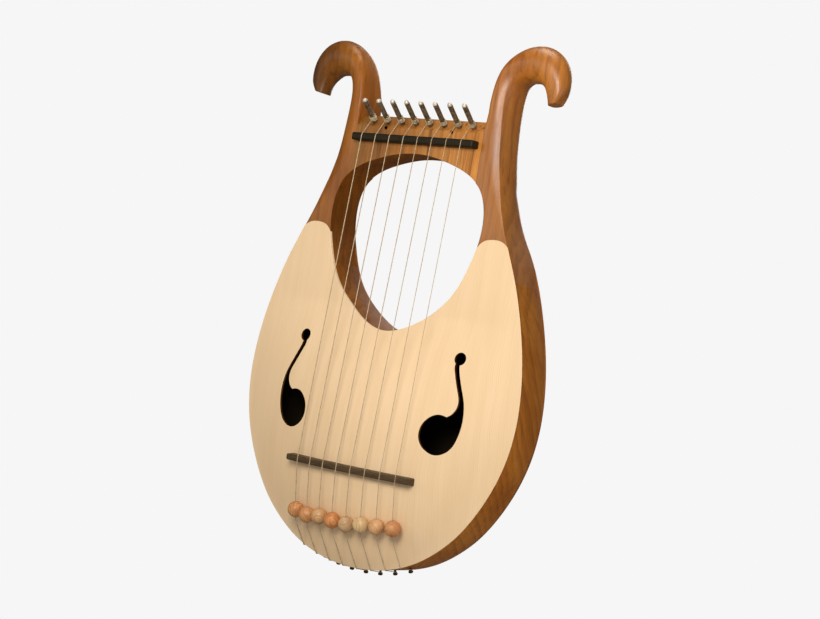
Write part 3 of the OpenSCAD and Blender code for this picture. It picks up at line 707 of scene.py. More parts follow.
def painted_shade_wood(n, x, z):
    """Painted shade: darker round the shoulders and at the height of the nut, lighter at the foot and in the scrolls.
    """
    return steps(n, z, [(-200, 1.0), (-68, 1.06), (52, 0.74), (138, 0.70), (280, 0.74), (350, 0.96)])


# Painted shade on the hand hole wall: darker going up, darkest just under the arch.
def painted_shade_hole(n, x, z):
    return steps(n, z, [(-68, 0.98), (52, 0.84), (138, 0.72), (185, 0.56), (240, 0.74)])


def painted_shade_left(n, x, z):
    """Painted shade on the left arm: darker towards its outer edge in the scroll, and darker round the shoulders below.
    """
    side = steps(n, x, [(-168, 0.26), (-125, 0.60), (-82, 1.04)])
    low = steps(n, z, [(-200, 1.0), (-68, 0.96), (52, 0.78), (138, 0.80), (250, 0.95), (310, 0.0)])
    high = n.grey(z, 250, 310, 0.0, 1.15)
    return n.math("ADD", low, n.math("MULTIPLY", side, high))


# Painted shade on the crossbar: darker towards its left end, and its sloped top darker.
def painted_shade_bar(n, x, z):
    across = steps(n, x, [(-86, 0.48), (0, 0.74), (86, 1.0)])
    return n.math("MULTIPLY", across, n.grey(z, 287, 292, 1.0, 0.76))


M_SPRUCE = spruce("spruce_top")
# The arms, ribs and hand hole wall share one wood pattern, so the grain runs on from piece to piece; the left arm and
# the hand hole wall take a darker copy of its colours as painted shade.
WOOD = (srgb(202, 126, 40), srgb(178, 102, 20), srgb(98, 45, 5))
# a darker copy of WOOD: painted shade for the left arm and round the hand hole
SHADED_WOOD = (srgb(176, 107, 26), srgb(150, 84, 11), srgb(82, 37, 3))
M_ARM = hardwood("arm_wood", *WOOD, tilt=0.5, streak=0.50, ring_mm=8.0, ring_amt=0.34, coat=0.68, rough=(0.34, 0.46), spec=0.40, shade=painted_shade_wood)
M_ARM_L = hardwood("arm_wood_left_shaded", *SHADED_WOOD, tilt=0.5, streak=0.50, ring_mm=8.0, ring_amt=0.34, coat=0.32, spec=0.28, shade=painted_shade_left)
M_BAR = hardwood("crossbar_wood", srgb(224, 152, 74), srgb(204, 130, 52), srgb(88, 46, 14), streak=0.95, ring_mm=11.0, ring_amt=0.28, seed=57.0, coat=0.08, spec=0.2, shade=painted_shade_bar)
M_SIDE = hardwood("side_wood", *WOOD, tilt=0.5, streak=0.50, ring_mm=8.0, ring_amt=0.34, coat=0.05, spec=0.2, shade=painted_shade_wood)
M_HOLE = hardwood("hole_wood_shaded", *SHADED_WOOD, tilt=0.5, streak=0.50, ring_mm=8.0, ring_amt=0.34, spec=0.1, coat=0.0, rough=(0.5, 0.62), shade=painted_shade_hole)
# the sound holes' cut walls, dark brown
M_CUT = hardwood("dark_hole_edge", srgb(92, 54, 10), srgb(74, 42, 7), srgb(44, 26, 4), streak=0.4, ring_mm=6.0, ring_amt=0.3, spec=0.1, coat=0.0, rough=(0.6, 0.7), wear=0.0)
M_BACK = hardwood("back_wood", srgb(182, 110, 42), srgb(154, 84, 26), srgb(84, 38, 8), streak=0.55, ring_mm=12.0, ring_amt=0.5, seed=97.0, wander=70.0)
# the back's inner face, near black: painted shade inside the body
M_INSIDE_SHADE = hardwood("inside_wood_painted_shade", srgb(36, 26, 12), srgb(28, 20, 9), srgb(16, 12, 5), streak=0.5, ring_mm=12.0, ring_amt=0.4, spec=0.1, coat=0.0, rough=(0.7, 0.8), wear=0.0)
M_BRACE = hardwood("brace_wood", srgb(205, 170, 120), srgb(190, 150, 100), srgb(150, 110, 66), streak=0.2, ring_mm=3.0, ring_amt=0.35, pores=0.1, coat=0.0, rough=(0.6, 0.75), wear=0.0, axis="x")
# the braces inside the body, near black: painted shade
M_INNER_SHADE = hardwood("inner_brace_painted_shade", srgb(54, 33, 8), srgb(44, 27, 6), srgb(28, 17, 4), streak=0.2, ring_mm=3.0, ring_amt=0.35, pores=0.1, coat=0.0, spec=0.1, rough=(0.7, 0.8), wear=0.0, axis="x")
M_EBONY = ebony("ebony", 0.75, 0.35)
M_BRIDGE = ebony("ebony_bridge", 1.75)
M_PIN = metal("pin_steel", srgb(146, 122, 92), srgb(96, 76, 52), (0.40, 0.52), srgb(216, 204, 182), axis_noise=(1.5, 1.5, 0.5), metallic=0.6, patchy=0.3)
# the pins' domed tips, much lighter than the shank: painted highlight
M_TIP_GLINT = metal("pin_tip", srgb(232, 222, 204), srgb(206, 194, 174), (0.26, 0.38), srgb(244, 238, 228), metallic=0.35, patchy=0.2)
M_DARK = metal("dark_steel", srgb(60, 48, 38), srgb(34, 27, 22), (0.32, 0.5), srgb(140, 120, 96))
M_HITCH = metal("hitch_steel", srgb(104, 74, 38), srgb(66, 44, 20), (0.42, 0.56), srgb(140, 108, 66), metallic=0.4)
M_STRING = metal("string_steel", srgb(202, 178, 142), srgb(176, 152, 118), (0.46, 0.60), None, metallic=0.15)
M_COIL = metal("coil_steel", srgb(226, 208, 172), srgb(186, 166, 130), (0.36, 0.50), None, metallic=0.4, patchy=0.2)
BEAD_COL = [((226, 164, 108), (208, 138, 84), (166, 96, 52)), ((224, 166, 112), (206, 142, 90), (168, 102, 58)),
            ((220, 172, 122), (204, 150, 104), (158, 108, 68)), ((224, 152, 92), (206, 128, 70), (160, 86, 42)),
            ((212, 172, 128), (194, 152, 110), (152, 112, 76)), ((232, 196, 148), (214, 174, 126), (178, 132, 88)),
            ((230, 178, 128), (212, 154, 104), (170, 108, 66)), ((222, 158, 104), (202, 134, 84), (158, 92, 50))]
M_BEADS = [bead_wood("bead_wood_%d" % (i + 1), 11 + i, *[srgb(c[0] * 0.98, c[1] * 0.985, c[2] * 0.95) for c in BEAD_COL[i]]) for i in range(8)]


# ---------------------------------------------------------------- camera, light and floor
def aim(yaw, pitch, roll):
    yaw, pitch, roll = (math.radians(a) for a in (yaw, pitch, roll))
    back = Vector((math.sin(yaw) * math.cos(pitch), -math.cos(yaw) * math.cos(pitch), math.sin(pitch)))
    right = Vector((math.cos(yaw), math.sin(yaw), 0))
    up = back.cross(right)
    r2 = right * math.cos(roll) + up * math.sin(roll)
    u2 = up * math.cos(roll) - right * math.sin(roll)
    m = Matrix.Identity(4)
    for i in range(3):
        m[i][0], m[i][1], m[i][2] = r2[i], u2[i], back[i]
    return m, back


cam_data = bpy.data.cameras.new("camera")
cam = bpy.data.objects.new("camera", cam_data)
bpy.context.scene.collection.objects.link(cam)
rot, back_dir = aim(37.00, -1.143, 8.943)
target = Vector((0.026, -0.046, 0.0979))
rot.translation = target + back_dir * 1.884
cam.matrix_world = rot
cam_data.sensor_width = 36.0
cam_data.sensor_fit = "HORIZONTAL"
cam_data.lens = 78.77
cam_data.clip_start = 0.05
cam_data.clip_end = 60.0
bpy.context.scene.camera = cam


def light(name, at, size, power, color=(1, 1, 1), look=(0.0, -0.02, 0.08)):
    d = bpy.data.lights.new(name, "AREA")
    d.shape = "SQUARE"
    d.size = size
    d.energy = power
    d.color = color
    o = bpy.data.objects.new(name, d)
    bpy.context.scene.collection.objects.link(o)
    o.location = Vector(at)
    v = (Vector(at) - Vector(look)).normalized()
    o.rotation_euler = v.to_track_quat("Z", "Y").to_euler()
    o.visible_camera = False
    return o


light("key", (0.33, -0.80, 0.32), 0.34, 5.3, (1.0, 0.97, 0.93))
light("right", (1.5, -0.1, 0.02), 0.8, 2.7, (1.0, 0.96, 0.91))
light("top", (0.0, -0.1, 1.3), 0.6, 4.9, (1.0, 0.97, 0.93))
light("left", (-0.9, -1.2, 0.4), 0.5, 1.9, (1.0, 0.97, 0.93))
light("rear", (-0.5, 1.7, 0.7), 1.2, 11.0, (1.0, 0.97, 0.94))

world = bpy.data.worlds.new("studio")
bpy.context.scene.world = world
world.use_nodes = True
wt = world.node_tree
wt.nodes.clear()
wo = wt.nodes.new("ShaderNodeOutputWorld")
wb = wt.nodes.new("ShaderNodeBackground")
wc = wt.nodes.new("ShaderNodeBackground")
wm = wt.nodes.new("ShaderNodeMixShader")
wg = wt.nodes.new("ShaderNodeBackground")
wm2 = wt.nodes.new("ShaderNodeMixShader")
lp = wt.nodes.new("ShaderNodeLightPath")
BACKDROP = srgb(246, 246, 246)
wb.inputs[0].default_value = (1.0, 0.985, 0.96, 1.0)
wb.inputs[1].default_value = 0.36
wc.inputs[0].default_value = BACKDROP
wc.inputs[1].default_value = 1.0
wg.inputs[0].default_value = (1.0, 0.97, 0.92, 1.0)
wg.inputs[1].default_value = 0.08
wt.links.new(lp.outputs["Is Glossy Ray"], wm2.inputs[0])
wt.links.new(wb.outputs[0], wm2.inputs[1])
wt.links.new(wg.outputs[0], wm2.inputs[2])
wt.links.new(lp.outputs["Is Camera Ray"], wm.inputs[0])
wt.links.new(wm2.outputs[0], wm.inputs[1])
wt.links.new(wc.outputs[0], wm.inputs[2])
wt.links.new(wm.outputs[0], wo.inputs[0])
bpy.context.scene.view_settings.view_transform = "Standard"
bpy.context.scene.view_settings.look = "None"

# The floor: a large flat disc just under the lowest hitch pin, as pale as the backdrop.
FLOOR_Z = cad_lo[2] - 0.001
fv = [(0.0, 0.0, FLOOR_Z)]
ff = []
for ri, rr in enumerate((0.5, 1.2, 2.5, 5.0)):
    for i in range(48):
        a = 2 * math.pi * i / 48
        fv.append((rr * math.cos(a), rr * math.sin(a), FLOOR_Z))
for i in range(48):
    ff.append((0, 1 + i, 1 + (i + 1) % 48))
for ri in range(3):
    for i in range(48):
        a, b = 1 + ri * 48 + i, 1 + ri * 48 + (i + 1) % 48
        ff.append((a, a + 48, b + 48, b))
floor_m = bpy.data.materials.new("floor_paint")
floor_m.use_nodes = True
ft = floor_m.node_tree
ft.nodes.clear()
fo = ft.nodes.new("ShaderNodeOutputMaterial")
fe = ft.nodes.new("ShaderNodeEmission")
fe.inputs[0].default_value = BACKDROP
ft.links.new(fe.outputs[0], fo.inputs[0])
fme = bpy.data.meshes.new("floor")
fme.from_pydata(fv, [], ff)
fme.materials.append(floor_m)
floor = bpy.data.objects.new("floor", fme)
bpy.context.scene.collection.objects.link(floor)
floor.visible_diffuse = False
floor.visible_glossy = False
floor.visible_shadow = False
floor.visible_transmission = False

# ---------------------------------------------------------------- soundboard
lobe = spline(np.array([[98.3, 350.5], [101.5, 354.5], [106, 357.8], [113, 359.8], [121, 360.2], [128, 359], [132.5, 356.8], [136, 354]]) * [KX, 1], 1.0)
COMMA = np.array([[104.8, 231.5], [105.6, 226.7], [107.9, 219.2], [111.5, 210.7], [115.5, 201.7], [119.1, 193.1], [121.3, 184], [122.3, 174],
                  [121.8, 165], [120, 156], [117, 147.5], [112, 140.5], [105, 135.8], [97, 134], [89, 136], [82, 141],
                  [77.8, 148], [77, 156], [79.5, 164], [85.5, 171], [92.5, 174.8], [99, 175.3], [104.5, 174.2],
                  [109, 177.5], [112.6, 183], [113.9, 189.3], [112.9, 195.2], [109.7, 202.6], [105.7, 211.6], [102.2, 220.1], [100.2, 226.8], [100.6, 231.5]]) * [KX, 1]
EYE, EYE_R = np.array([104.2 * KX, 234.8]), 6.6


def thin(P, step):
    """Every point of a dense curve that lies at least step from the one before, with both ends kept."""
    out = [P[0]]
    for p in P[1:-1]:
        if np.hypot(*(p[:2] - out[-1][:2])) >= step:
            out.append(p)
    if np.hypot(*(P[-1][:2] - out[-1][:2])) < 0.6 * step and len(out) > 1:
        out.pop()
    out.append(P[-1])
    return np.array(out)


def sound_hole():
    c1, c2 = spline(COMMA[:23], 0.25), spline(COMMA[22:], 0.25)
    far = lambda P: P[np.hypot(*(P - EYE).T) > EYE_R]
    c1, c2 = far(c1), far(c2)
    a0 = math.atan2(*(c2[-1] - EYE)[::-1])
    a1 = math.atan2(*(c1[0] - EYE)[::-1])
    while a1 > a0:
        a1 -= 2 * math.pi
    n = 40
    arc = np.array([EYE + EYE_R * np.array([math.cos(t), math.sin(t)]) for t in np.linspace(a0, a1, n)[1:-1]])
    return np.vstack([thin(c1, 1.1)[:-1], thin(c2, 1.1), arc])


board_half = np.vstack([thin(outer[outer[:, 1] < 353.2], 2.0), thin(lobe[::-1], 1.2), thin(hole_low[hole_low[:, 1] < 349.2][::-1], 2.0)])
board_loop = np.vstack([board_half, flip(board_half[::-1])[1:-1]])
S_HOLE = sound_hole()
BOARD_FRONT = lambda x, z: -dome(x, z)
soundboard = plate("soundboard_top", board_loop, [S_HOLE, flip(S_HOLE)], BOARD_FRONT, lambda x, z: -dome(x, z) + BOARD_T,
                   0.45, 0.0, 4.0, [M_SPRUCE], margin=0.35)
soundboard.data.materials.append(M_SIDE)
soundboard.data.materials.append(M_CUT)
# the sound holes' cut walls take the dark edge wood
edge_pts = np.vstack([S_HOLE, flip(S_HOLE)])
for f_ in soundboard.data.polygons:
    if abs(f_.normal.y) < 0.6:
        q = np.array(f_.center) * 1000 - np.array([0.0, -46.0, -180.0])
        if np.min(np.hypot(edge_pts[:, 0] - q[0], edge_pts[:, 1] - q[2])) < 1.4:
            f_.material_index = len(soundboard.data.materials) - 1
        elif abs(f_.normal.y) < 0.35 and min(abs(half_w(q[2]) - abs(q[0])) if q[2] > 40 else 99, abs(q[2] - float(rim_z(abs(q[0])))) if q[2] < 80 else 99) < 1.2:
            f_.material_index = len(soundboard.data.materials) - 2
place(soundboard, "root", "soundboard")

# ---------------------------------------------------------------- back, ribs, tail block, hand hole wall
BACK_Y = BODY_D - BACK_T
bz = 338.0
back_half = np.vstack([thin(outer[outer[:, 1] < bz - 0.3], 2.0), [[half_w(bz), bz]], [[hole_x(bz), bz]], thin(hole_low[hole_low[:, 1] < bz - 0.3][::-1], 2.0)])
back_loop = np.vstack([back_half, flip(back_half[::-1])[1:-1]])
back = plate("back_plate", back_loop, [], lambda x, z: BACK_Y + 0 * x, lambda x, z: BODY_D + 0 * x, 0.25, 1.1, 6.0, [M_BACK, M_INSIDE_SHADE], margin=0.3)
# the back's inner face takes the near-black inside wood: painted shade
for f_ in back.data.polygons:
    f_.material_index = 1 if f_.normal.y < -0.9 else 0
place(back, "root", "back_board")


def bevel_ring(c, b):
    """Rounds the four corners of a quad section (4, 3) by b."""
    out = []
    for i in range(4):
        p, q, r = c[i - 1], c[i], c[(i + 1) % 4]
        d0 = (p - q) / np.linalg.norm(p - q)
        d1 = (r - q) / np.linalg.norm(r - q)
        for t in (0.0, 0.5, 1.0):
            a = q + d0 * b
            e = q + d1 * b
            out.append((1 - t) ** 2 * a + 2 * t * (1 - t) * q + t * t * e)
    return out


def normals(P):
    T = np.gradient(P, axis=0)
    T /= np.linalg.norm(T, axis=1)[:, None]
    return np.stack([T[:, 1], -T[:, 0]], 1)


RIB_T, TAIL_X, TAIL_Z = 7.0, 72.0 * KX, 40.0
rib_path = resample(outer[(outer[:, 0] >= 0) & (outer[:, 1] < ARM_Z0 + 0.01) & (outer[:, 1] > 0)], 0.25)
rib_path = rib_path[~((rib_path[:, 0] < TAIL_X) & (rib_path[:, 1] < 100))]
rib_path = np.vstack([[[TAIL_X, rim_z(TAIL_X)]], rib_path, [[half_w(ARM_Z0), ARM_Z0]]])
rib_path = resample(rib_path, 2.0)
rib_n = normals(rib_path)
for side, name, node in ((1, "side_rib_right", "right_rib"), (-1, "side_rib_left", "left_rib")):
    S = []
    for p, nn in zip(rib_path, rib_n):
        q = p - nn * RIB_T
        S.append(bevel_ring(np.array([[p[0], BOARD_T + 0.02, p[1]], [p[0], BACK_Y - 0.02, p[1]], [q[0], BACK_Y - 0.02, q[1]], [q[0], BOARD_T + 0.02, q[1]]]), 0.12))
    S = np.array(S)
    S[..., 0] *= side
    V, F = loft(row(S))
    place(new_object(name, V, F, [M_SIDE]), "root", node)

S = []
for x in np.linspace(-TAIL_X + 0.02, TAIL_X - 0.02, 121):
    z = rim_z(x)
    S.append(bevel_ring(np.array([[x, BOARD_T + 0.02, z], [x, BACK_Y - 0.02, z], [x, BACK_Y - 0.02, TAIL_Z], [x, BOARD_T + 0.02, TAIL_Z]]), 0.12))
V, F = loft(row(S))
place(new_object("tail_block_wood", V, F, [M_SIDE]), "root", "tail_block")

wall = resample(hole_low[hole_low[:, 1] < ARM_Z0], 0.25)
wall = np.vstack([flip(wall[::-1]), wall[1:]])
wall = resample(wall, 1.8)
wall_n = normals(wall)
S = []
for p, nn in zip(wall, wall_n):
    q = p + nn * 5.0
    fy = lambda v: BOARD_T + 0.03 - float(dome(v[0], v[1]))
    S.append(bevel_ring(np.array([[p[0], fy(p), p[1]], [q[0], fy(q), q[1]], [q[0], BACK_Y - 0.02, q[1]], [p[0], BACK_Y - 0.02, p[1]]]), 0.1))
V, F = loft(row(S))
place(new_object("hand_hole_wall", V, F, [M_HOLE]), "root", "hole_wall")

# ---------------------------------------------------------------- rounded sections
def round_poly(P, R, n=6):
    """A closed 2D polygon with each corner rounded to its own radius, n + 1 points a corner."""
    P = np.asarray(P, float)
    out = []
    m = len(P)
    for i in range(m):
        a, b, c = P[i - 1], P[i], P[(i + 1) % m]
        d0 = (a - b) / np.linalg.norm(a - b)
        d1 = (c - b) / np.linalg.norm(c - b)
        half = math.acos(max(-1, min(1, float(d0 @ d1)))) / 2
        t = R[i] / math.tan(half)
        bis = (d0 + d1) / np.linalg.norm(d0 + d1)
        cen = b + bis * R[i] / math.sin(half)
        p, q = b + d0 * t - cen, b + d1 * t - cen
        a0 = math.atan2(p[1], p[0])
        da = (math.atan2(q[1], q[0]) - a0 + math.pi) % (2 * math.pi) - math.pi
        for k in range(n + 1):
            w = a0 + da * k / n
            out.append(cen + R[i] * np.array([math.cos(w), math.sin(w)]))
    return np.array(out)


def fit_radii(P, R):
    """Shrinks corner radii until neighbouring corners share each edge."""
    P, R = np.asarray(P, float), list(R)
    m = len(P)
    f = []
    for i in range(m):
        d0, d1 = P[i - 1] - P[i], P[(i + 1) % m] - P[i]
        f.append(1 / math.tan(math.acos(max(-1, min(1, float(d0 @ d1) / (np.linalg.norm(d0) * np.linalg.norm(d1))))) / 2))
    for _ in range(6):
        for i in range(m):
            j = (i + 1) % m
            L = np.linalg.norm(P[j] - P[i]) * 0.995
            t = R[i] * f[i] + R[j] * f[j]
            if t > L:
                # the larger of the two gives way first
                if R[i] * f[i] > 0.5 * L and R[j] * f[j] > 0.5 * L:
                    R[i], R[j] = 0.5 * L / f[i], 0.5 * L / f[j]
                elif R[i] * f[i] > R[j] * f[j]:
                    R[i] = (L - R[j] * f[j]) / f[i]
                else:
                    R[j] = (L - R[i] * f[i]) / f[j]
    return R


# ---------------------------------------------------------------- arms
SEAM_X = 84.5 * KX
# inner edge x, z, outer edge x, z, front and back depth, radii: inner front, inner back, outer back,
# then the outer side: how far it leans in, how deep, the radius of its front edge, and the width and drop of the crowned front beside it
ARM = np.array([
    [87.5, 318, 152.3, 318, 0, 46, .6, 1.0, 1.1, .5, 1.2, .8, .4, .02],
    [93.5, 334, 145.37, 334, 0, 46, .6, 1.1, 1.2, .5, 1.5, .8, .5, .03],
    [98.6, 352, 137.05, 352, 0, 46, .6, 2.0, 4.0, .6, 2.5, .9, 1.0, .1],
    [100.8, 370, 129.3, 370, 0, 45.8, .7, 2.5, 10.5, .9, 6.0, 1.0, 2.5, .5],
    [99.5, 388, 123.2, 388, 0, 44.9, .8, 3.0, 14.5, 1.6, 10.0, 1.1, 4.5, 1.4],
    [94.4, 403.5, 119.2, 403.5, 0, 43.8, .8, 3.0, 17.0, 2.6, 15.0, 1.2, 6.5, 2.6],
    [88.0, 413, 116.9, 413, 0, 43.0, .5, 2.0, 18.5, 3.2, 18.0, 1.3, 7.5, 3.4],
    [80, 421, 114.5, 424, 0, 42.0, .15, 1.0, 20.5, 3.6, 20.0, 1.4, 8.0, 3.9],
    [76, 436, 112.0, 436, 0, 41.2, .15, .5, 22.5, 4.0, 20.0, 1.5, 8.5, 4.2],
    [75, 450, 110.0, 450, 0, 40.6, .15, .5, 23.0, 4.2, 19.5, 1.8, 8.5, 4.3],
    [76, 467, 108.5, 468, 0, 40.2, .15, .6, 23.0, 4.4, 19.0, 2.6, 8.5, 4.4],
    [79.5, 479, 107.8, 479.5, 0, 40.0, 2.5, 1.5, 22.5, 4.6, 18.5, 3.8, 8.5, 4.5],
    [83.0, 490, 107.5, 489, 0, 39.8, 5.0, 3.0, 22.0, 4.8, 18.0, 5.5, 8.5, 4.6],
    [84.6, 502, 107.6, 501, 0, 39.4, 8.0, 5.0, 21.5, 5.0, 18.0, 8.0, 8.5, 4.7],
    [86.0, 515, 108.9, 511, 0, 38.6, 10.0, 8.0, 21, 5.0, 18.0, 10.0, 8.5, 4.8],
    [89.6, 531, 112, 519.5, 0, 37.6, 12.0, 11.0, 20, 5.0, 17.0, 12.0, 8.5, 5.0],
    [98, 546.5, 117, 524.3, 0, 36.8, 13.5, 13.5, 19, 5.0, 16.0, 13.0, 9.0, 5.0],
    [111.5, 558.8, 123, 526.3, 0, 36.2, 16, 16, 18, 5.0, 15.0, 14.0, 9.0, 5.0],
    [130, 564.8, 129.5, 526.5, 0.5, 36, 17, 17, 17.5, 5.0, 15.0, 14.0, 9.0, 5.0],
    [148.5, 560.3, 135.5, 525, 1.2, 35.2, 17, 17, 17, 5.0, 14.0, 14.0, 9.0, 5.0],
    [159.5, 551, 140, 521.8, 2.5, 34, 15.5, 15.5, 15.5, 4.5, 13.0, 13.0, 8.0, 4.5],
    [165.8, 539, 143, 518, 4, 32.5, 14, 14, 14, 4.0, 11.0, 11.0, 7.0, 4.0],
    [167.8, 527, 145.2, 513.3, 5.5, 31, 12.5, 12.5, 12.5, 3.5, 9.0, 9.0, 6.0, 3.5],
    [166.3, 515.5, 147.2, 508.2, 7, 29.5, 10, 10, 10, 3.0, 7.0, 7.0, 4.5, 2.5],
    [161, 506.5, 149, 503.8, 8.2, 28.2, 6, 6, 6, 2.0, 5.0, 5.0, 3.0, 1.6]])
dense = spline(ARM, 0.25)
dense[:, 4] = np.maximum(dense[:, 4], 0)
dense[:, 6:13] = np.maximum(dense[:, 6:13], 0.12)
dense[:, 13] = np.maximum(dense[:, 13], 0.01)
dense[:, 1] = np.minimum(dense[:, 1], 564.6)
dense[:, 0] *= KX
dense[:, 2] *= KX
low = np.nonzero((dense[:, 0] < SEAM_X) & (dense[:, 1] > 400))[0]
c0, c1 = low[0], low[-1]


def exact(i, j):
    a, b = dense[i], dense[j]
    t = (SEAM_X - a[0]) / (b[0] - a[0])
    return a + (b - a) * t


rows = [thin(dense[:c0], 3.0)[:-1], [exact(c0 - 1, c0)], thin(dense[c0 + 1:c1], 3.0)[1:-1], [exact(c1, c1 + 1)], thin(dense[c1 + 1:], 2.2)[1:]]
stations = np.vstack(rows)
stations[:, 0] = np.maximum(stations[:, 0], SEAM_X)


def arm_section(s, n=8):
    a, g = np.array([s[0], s[1]]), np.array([s[2], s[3]])
    w, d = np.linalg.norm(g - a), s[5] - s[4]
    u = (g - a) / w
    rif, rib, rob, c, cd, re, cw, cy = s[6:14]
    c, cd, cw = min(c, 0.3 * w), min(cd, 0.55 * d), min(cw, 0.35 * w)
    P = [[0, 0], [w - c - cw, 0], [w - c, cy], [w, cd], [w, d], [0, d]]
    out = round_poly(P, fit_radii(P, [rif, 26.0, re, 60.0, rob, rib]), n)
    P = a[None] + out[:, :1] * u[None]
    return np.stack([P[:, 0], s[4] + out[:, 1], P[:, 1]], 1)


def make_arm(name):
    rings = [arm_section(s) for s in stations]
    end = stations[-1].copy()
    # the tip is a flat sawn face with softened edges
    tip_dir = np.array([stations[-1][0] + stations[-1][2] - stations[-3][0] - stations[-3][2], 0, stations[-1][1] + stations[-1][3] - stations[-3][1] - stations[-3][3]])
    tip_dir /= np.linalg.norm(tip_dir)
    last = arm_section(end)
    cen = last.mean(0)
    for k, (push, shrink) in enumerate(((0.35, 0.97), (0.62, 0.93), (0.75, 0.88))):
        rings.append(cen + (last - cen) * shrink + tip_dir * push)
    V, F = loft(row(np.array(rings)))
    return new_object(name, V, F, [M_ARM], smooth=40)


def prism(loop, y0, y1):
    n = len(loop)
    V = np.vstack([np.stack([loop[:, 0], np.full(n, y0), loop[:, 1]], 1), np.stack([loop[:, 0], np.full(n, y1), loop[:, 1]], 1)])
    F = [tuple(range(n)), tuple(range(2 * n - 1, n - 1, -1))] + [(i, i + n, (i + 1) % n + n, (i + 1) % n) for i in range(n)]
    return row(V), F


def scratch(V, F):
    return new_object("cutter", V, F, [])


o_part = thin(outer[(outer[:, 1] < 353.2) & (outer[:, 1] > 305)], 2.0) + [1.0, 0]
h_part = thin(hole_low[(hole_low[:, 1] < 349.2) & (hole_low[:, 1] > 305)][::-1], 2.0) - [1.0, 0]
lobe_cut = np.vstack([o_part, thin(lobe[::-1], 1.2), h_part])
arm = make_arm("arm_right")
boolean(arm, scratch(*prism(lobe_cut, -1.0, BOARD_T + 0.02)))
boolean(arm, scratch(*prism(np.array([[70.0, 300], [175, 300], [175, bz + 0.04], [70, bz + 0.04]]), BACK_Y, BODY_D + 4)))
arm.data.materials.append(M_HOLE)
# the arm's faces towards the hand hole, below the crossbar, take the darker hole wood: painted shade
for f_ in arm.data.polygons:
    q = np.array(f_.center) * 1000 - np.array([0.0, -46.0, -180.0])
    if f_.normal.x < -0.5 and abs(f_.normal.y) < 0.5 and q[2] < 423 and q[0] < 104 * KX:
        f_.material_index = len(arm.data.materials) - 1
place(arm, "root", "right_arm")
me = arm.data.copy()
me.name = "arm_left"
me.transform(Matrix.Scale(-1, 4, (1, 0, 0)))
me.flip_normals()
me.materials[0] = M_ARM_L
arm_l = bpy.data.objects.new("arm_left", me)
bpy.context.scene.collection.objects.link(arm_l)
place(arm_l, "root", "left_arm")

# ---------------------------------------------------------------- crossbar
BAR_D, BAR_TOP, SLOPE_Z, SLOPE_Y = 42.0, 482.0, 468.7, 11.0
SLOPE = math.atan2(BAR_TOP - SLOPE_Z, SLOPE_Y)
PIN_DIR = np.array([0, -math.sin(SLOPE), math.cos(SLOPE)])
UP_DIR = np.array([0, math.cos(SLOPE), math.sin(SLOPE)])
LEFT = np.array([-1.0, 0, 0])


bar_x = np.linspace(-SEAM_X + 0.04, SEAM_X - 0.04, 121)
S = []
for x in bar_x:
    za = float(np.interp(abs(x), arch[:, 0], arch[:, 1]))
    P = round_poly([[0, za], [0, SLOPE_Z], [SLOPE_Y, BAR_TOP], [BAR_D, BAR_TOP], [BAR_D, za]], [0.7, 1.0, 1.3, 5.0, 1.5])
    S.append(np.stack([np.full(len(P), x), P[:, 0], P[:, 1]], 1))
V, F = loft(row(np.array(S)))
bar = new_object("crossbar_wood", V, F, [M_BAR, M_DARK, M_HOLE], smooth=35)


def frame_at(o, w, u):
    """Maps local (x, y, z) to design mm: z along w, x along u."""
    w = np.asarray(w, float) / np.linalg.norm(w)
    u = np.asarray(u, float)
    u = u - w * (u @ w)
    u /= np.linalg.norm(u)
    v = np.cross(w, u)
    return lambda p: np.asarray(o) + np.asarray(p, float)[..., :1] * u + np.asarray(p, float)[..., 1:2] * v + np.asarray(p, float)[..., 2:3] * w


def lathe(profile, m=32, closed=False):
    """Rings of a turned profile [(r, z), ...] in local millimetres."""
    a = np.arange(m) * 2 * math.pi / m
    return np.array([[(r * math.cos(t), r * math.sin(t), z) for t in a] for r, z in profile])


SCREW_W = np.array([0, -math.sin(math.radians(58)), math.cos(math.radians(58))])
for s in (-1, 1):
    f = frame_at([s * 44 * KX, 0, SLOPE_Z - 0.5], SCREW_W, [1, 0, 0])
    V, F = loft(row(f(lathe([(2.1, -15.9), (2.1, 6.0)], 40))))
    boolean(bar, scratch(V, F))
for f_ in bar.data.polygons:
    q = np.array(f_.center) * 1000 - np.array([0.0, -46.0, -180.0])
    for s in (-1, 1):
        o = q - np.array([s * 44 * KX, 0, SLOPE_Z - 0.5])
        # the wooden walls of the screw bores take the dark steel: painted shade in the holes
        if np.linalg.norm(o - SCREW_W * (o @ SCREW_W)) < 2.2:
            f_.material_index = 1
    # the crossbar's underside over the hand hole takes the darker hole wood: painted shade
    if f_.normal.z < -0.45 and abs(f_.normal.y) < 0.5 and q[2] < 445:
        f_.material_index = 2
place(bar, "root", "crossbar")

parts = []
for s in (-1, 1):
    f = frame_at([s * 44 * KX, 0, SLOPE_Z - 0.5], SCREW_W, [1, 0.3 * s, 0.2])
    head = [(1.35, -15.0), (1.45, -14.0), (1.45, -4.6), (1.95, -3.1), (2.04, -2.4), (1.98, -1.5), (1.75, -1.05), (1.2, -0.86), (0.6, -0.8)]
    V, F = loft(row(f(lathe(head, 32))))
    parts.append((V, F, 0))
V, F, M = join_parts(parts)
screws = new_object("crossbar_screw_heads", V, F, [M_DARK], smooth=40)
for s in (-1, 1):
    f = frame_at([s * 44 * KX, 0, SLOPE_Z - 0.5], SCREW_W, [1, 0.3 * s, 0.2])
    V, F = loft(row(f(np.array([[(x, y, z) for x, y in ((-2.3, -0.3), (2.3, -0.3), (2.3, 0.3), (-2.3, 0.3))] for z in (-1.6, 0.5)]))))
    boolean(screws, scratch(V, F))
place(screws, "root", "crossbar_screws")

